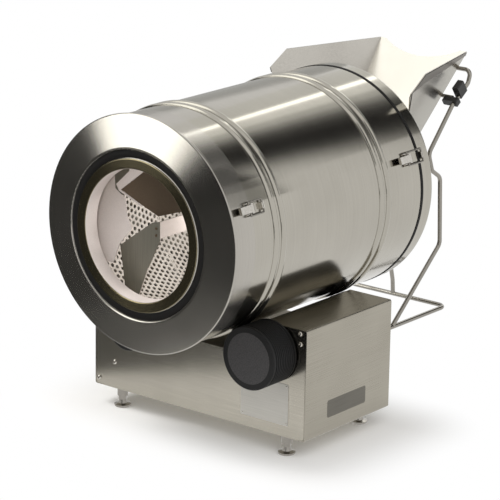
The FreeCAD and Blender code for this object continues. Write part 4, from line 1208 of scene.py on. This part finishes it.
@dataclass
class Studio:
    """Floor, cards, lamps and camera."""

    centre: Vector = field(default_factory=lambda: Vector((0, 0, 0.3)))
    reach: float = 3.2
    floor_half: float = 9.0
    paper: Paper = Paper("white_paper_floor", "#fbfaf8", "#f7f6f4", 0.8)
    surround: float = 0.55
    eye: Triple = (2.8214, -3.6611, 1.6235)
    heading: float = 38.4
    tilt: float = 16.28
    roll: float = 0.94
    focal: float = 2712.8
    photo_width: float = 500.0
    sensor: float = 36.0
    table_normal: Span = (-0.719, -0.695)
    card_height: float = 2 * MM
    near_card_side: float = 0.343
    hollow_place: Triple = (60 * MM, 190 * MM, 20 * MM)
    hollow_power: float = 0.85
    throat_aim: Span = (36, 14)
    throat_reach: float = 3.0
    throat_power: float = 170
    throat_cone: float = 4.4
    # Name, azimuth, elevation, distance, size and power.
    soft_lamps: ClassVar[tuple[tuple[str, float, float, float, float, float], ...]] = (
        ("key", -52, 52, 3.0, 1.8, 70), ("fill", 60, 40, 3.4, 2.4, 30))
    # Name, place along the lit table's edge, distance out from the middle, and level.
    floor_cards: ClassVar[tuple[tuple[str, Span, Span, float], ...]] = (
        ("table_shade", (-5.0, 5.0), (0.485, 0.8), 0.13),
        ("flag_table", (-5.0, 5.0), (0.8, 6.0), 0.065),
        ("grey_floor_back", (-1.55, -0.75), (-1.37, -0.57), 0.72),
    )
    # Name, place along Y, height, and level.
    near_cards: ClassVar[tuple[tuple[str, Span, Span, float], ...]] = (
        ("flag_near_high", (-0.21, -0.01), (0.66, 0.86), 0.1),
        ("flag_near_low", (-0.21, -0.03), (0.60, 0.66), 0.24),
        ("flag_near_soft", (-0.21, -0.04), (0.52, 0.60), 0.42),
    )
    cards: ClassVar[tuple[Card, ...]] = (
        Card("flag_front_left", (-100, -47), (-3, 32), 0.08),
        Card("flag_front_right", (-21, 30), (-3, 40), 0.03),
        Card("softbox_front", (-47, -21), (2.5, 34), 4.0),
        Card("softbox_key", (-80, -35), (38, 68), 2.4),
        Card("flag_back_edge", (145, 149), (24, 62), 0.35),
        Card("flag_back", (149, 162), (12, 62), 0.01),
        Card("flag_back_fade", (162, 168), (12, 62), 0.05),
        Card("flag_back_soft", (168, 173), (12, 62), 0.15),
        Card("flag_back_rim", (173, 178), (12, 62), 0.4),
        Card("grey_back_top", (178, 185), (12, 62), 0.75),
        Card("pale_back_top", (185, 194.5), (12, 62), 1.2),
        Card("grey_back_far", (198.5, 212), (24, 62), 0.95),
        Card("flag_left", (-120, -100), (-4, 14), 0.15),
        Card("grey_back", (-147, -120), (-4, 23), 0.5),
        Card("strip_back", (-165.5, -161.5), (12, 62), 3.0),
    )

    def floor(self) -> None:
        """Lays the floor's paper."""
        half = self.floor_half
        shape = one_face([Vector(((2 * i - 1) * half, (2 * j - 1) * half, 0)) for i, j in IN_TURN])
        piece("floor", finished(shape, "floor", outward=False), self.paper.material())

    def flat_cards(self) -> None:
        """Lays cards on the floor, and stands cards beside the drum's front."""
        away = Vector((*self.table_normal, 0)).normalized()
        side, lift = Vector((-away.y, away.x, 0)), Vector((0, 0, self.card_height))
        for name, across, out, level in self.floor_cards:
            mirror_only(name, one_face([away * out[i] + side * across[j] + lift for i, j in IN_TURN]), level)
        for name, along, rise, level in self.near_cards:
            corners = [Vector((self.near_card_side, along[i], rise[j])) for i, j in IN_TURN]
            mirror_only(name, one_face(corners), level)

    def world(self) -> None:
        """Makes a white surround for the eye and the metal, and a softer one for the light."""
        world = bpy.data.worlds.new("studio")
        world.use_nodes = True
        bpy.context.scene.world = world
        tree = world.node_tree
        tree.nodes.clear()
        path = add_node(tree, "ShaderNodeLightPath").outputs
        seen = path["Is Camera Ray"]
        for ray in ("Is Glossy Ray", "Is Transmission Ray"):
            seen = add_node(tree, "ShaderNodeMath", {0: seen, 1: path[ray]}, operation="MAXIMUM").outputs[0]
        soft, white = (add_node(tree, "ShaderNodeBackground", {"Color": (1, 1, 1, 1), "Strength": strength})
                       for strength in (self.surround, 1.0))
        both = add_node(tree, "ShaderNodeMixShader", {0: seen, 1: soft.outputs[0], 2: white.outputs[0]})
        add_node(tree, "ShaderNodeOutputWorld", {"Surface": both.outputs[0]})

    def lamp(self, name: str, kind: str, place: Vector, aim: Vector, power: float, **shape: float) -> None:
        """Hangs a lamp that neither the camera nor the metal sees.

        Args:
            name: The lamp's name.
            kind: Blender's name for the kind of lamp.
            place: Where it hangs.
            aim: The way from what it lights to the lamp.
            power: Its power in watts.
            shape: Sizes of the lamp itself.
        """
        data = bpy.data.lights.new(name, kind)
        data.energy = power
        for key, value in shape.items():
            setattr(data, key, value)
        made = linked(name, data)
        made.location = place
        made.rotation_euler = aim.to_track_quat("Z", "Y").to_euler()
        made.visible_glossy = False
        made.visible_camera = False

    def lamps(self) -> None:
        """Hangs two soft lamps over the machine, one that looks into the throat and a small one inside."""
        for name, azimuth, elevation, distance, size, power in self.soft_lamps:
            way = direction(azimuth, elevation)
            self.lamp(name, "AREA", self.centre + way * distance, way, power, size=size)
        mouth, way = DRUM_AXIS + ALONG_DRUM * CAD_BOX[0][1], direction(*self.throat_aim)
        self.lamp("throat", "SPOT", mouth + way * self.throat_reach, way, self.throat_power,
                  shadow_soft_size=0.15, spot_size=math.radians(self.throat_cone), spot_blend=0.25)
        self.lamp("hollow", "POINT", mouth + Vector(self.hollow_place), way, self.hollow_power,
                  shadow_soft_size=0.03)

    def camera(self) -> None:
        """Sets the camera at the photograph's viewing angle."""
        data = bpy.data.cameras.new("camera")
        data.sensor_width = self.sensor
        data.lens = self.focal / self.photo_width * data.sensor_width
        data.clip_end = 50.0
        made = linked("camera", data)
        a, e, r = (math.radians(v) for v in (self.heading, self.tilt, self.roll))
        ahead = Vector((-math.sin(a) * math.cos(e), math.cos(a) * math.cos(e), -math.sin(e)))
        level = Vector((math.cos(a), math.sin(a), 0))
        above = level.cross(ahead)
        right = level * math.cos(r) + above * math.sin(r)
        up = above * math.cos(r) - level * math.sin(r)
        turn = Matrix((right, up, -ahead)).transposed().to_4x4()
        made.matrix_world = Matrix.Translation(Vector(self.eye)) @ turn
        bpy.context.scene.camera = made

    def build(self) -> None:
        """Sets up the studio."""
        self.floor()
        self.flat_cards()
        for card in self.cards:
            card.build(self.centre, self.reach)
        self.world()
        self.lamps()
        self.camera()
        bpy.context.scene.view_settings.view_transform = "Standard"


def main() -> None:
    """Builds every sub-assembly in order."""
    logging.basicConfig(level=logging.INFO, format="%(name)s: %(message)s")
    for part in (Drum(), Wheels(), Housing(), Hopper(), Latches()):
        part.build()
        LOG.info("%s is done", type(part).__name__)
    Studio().build()


if __name__ == "__main__":
    main()
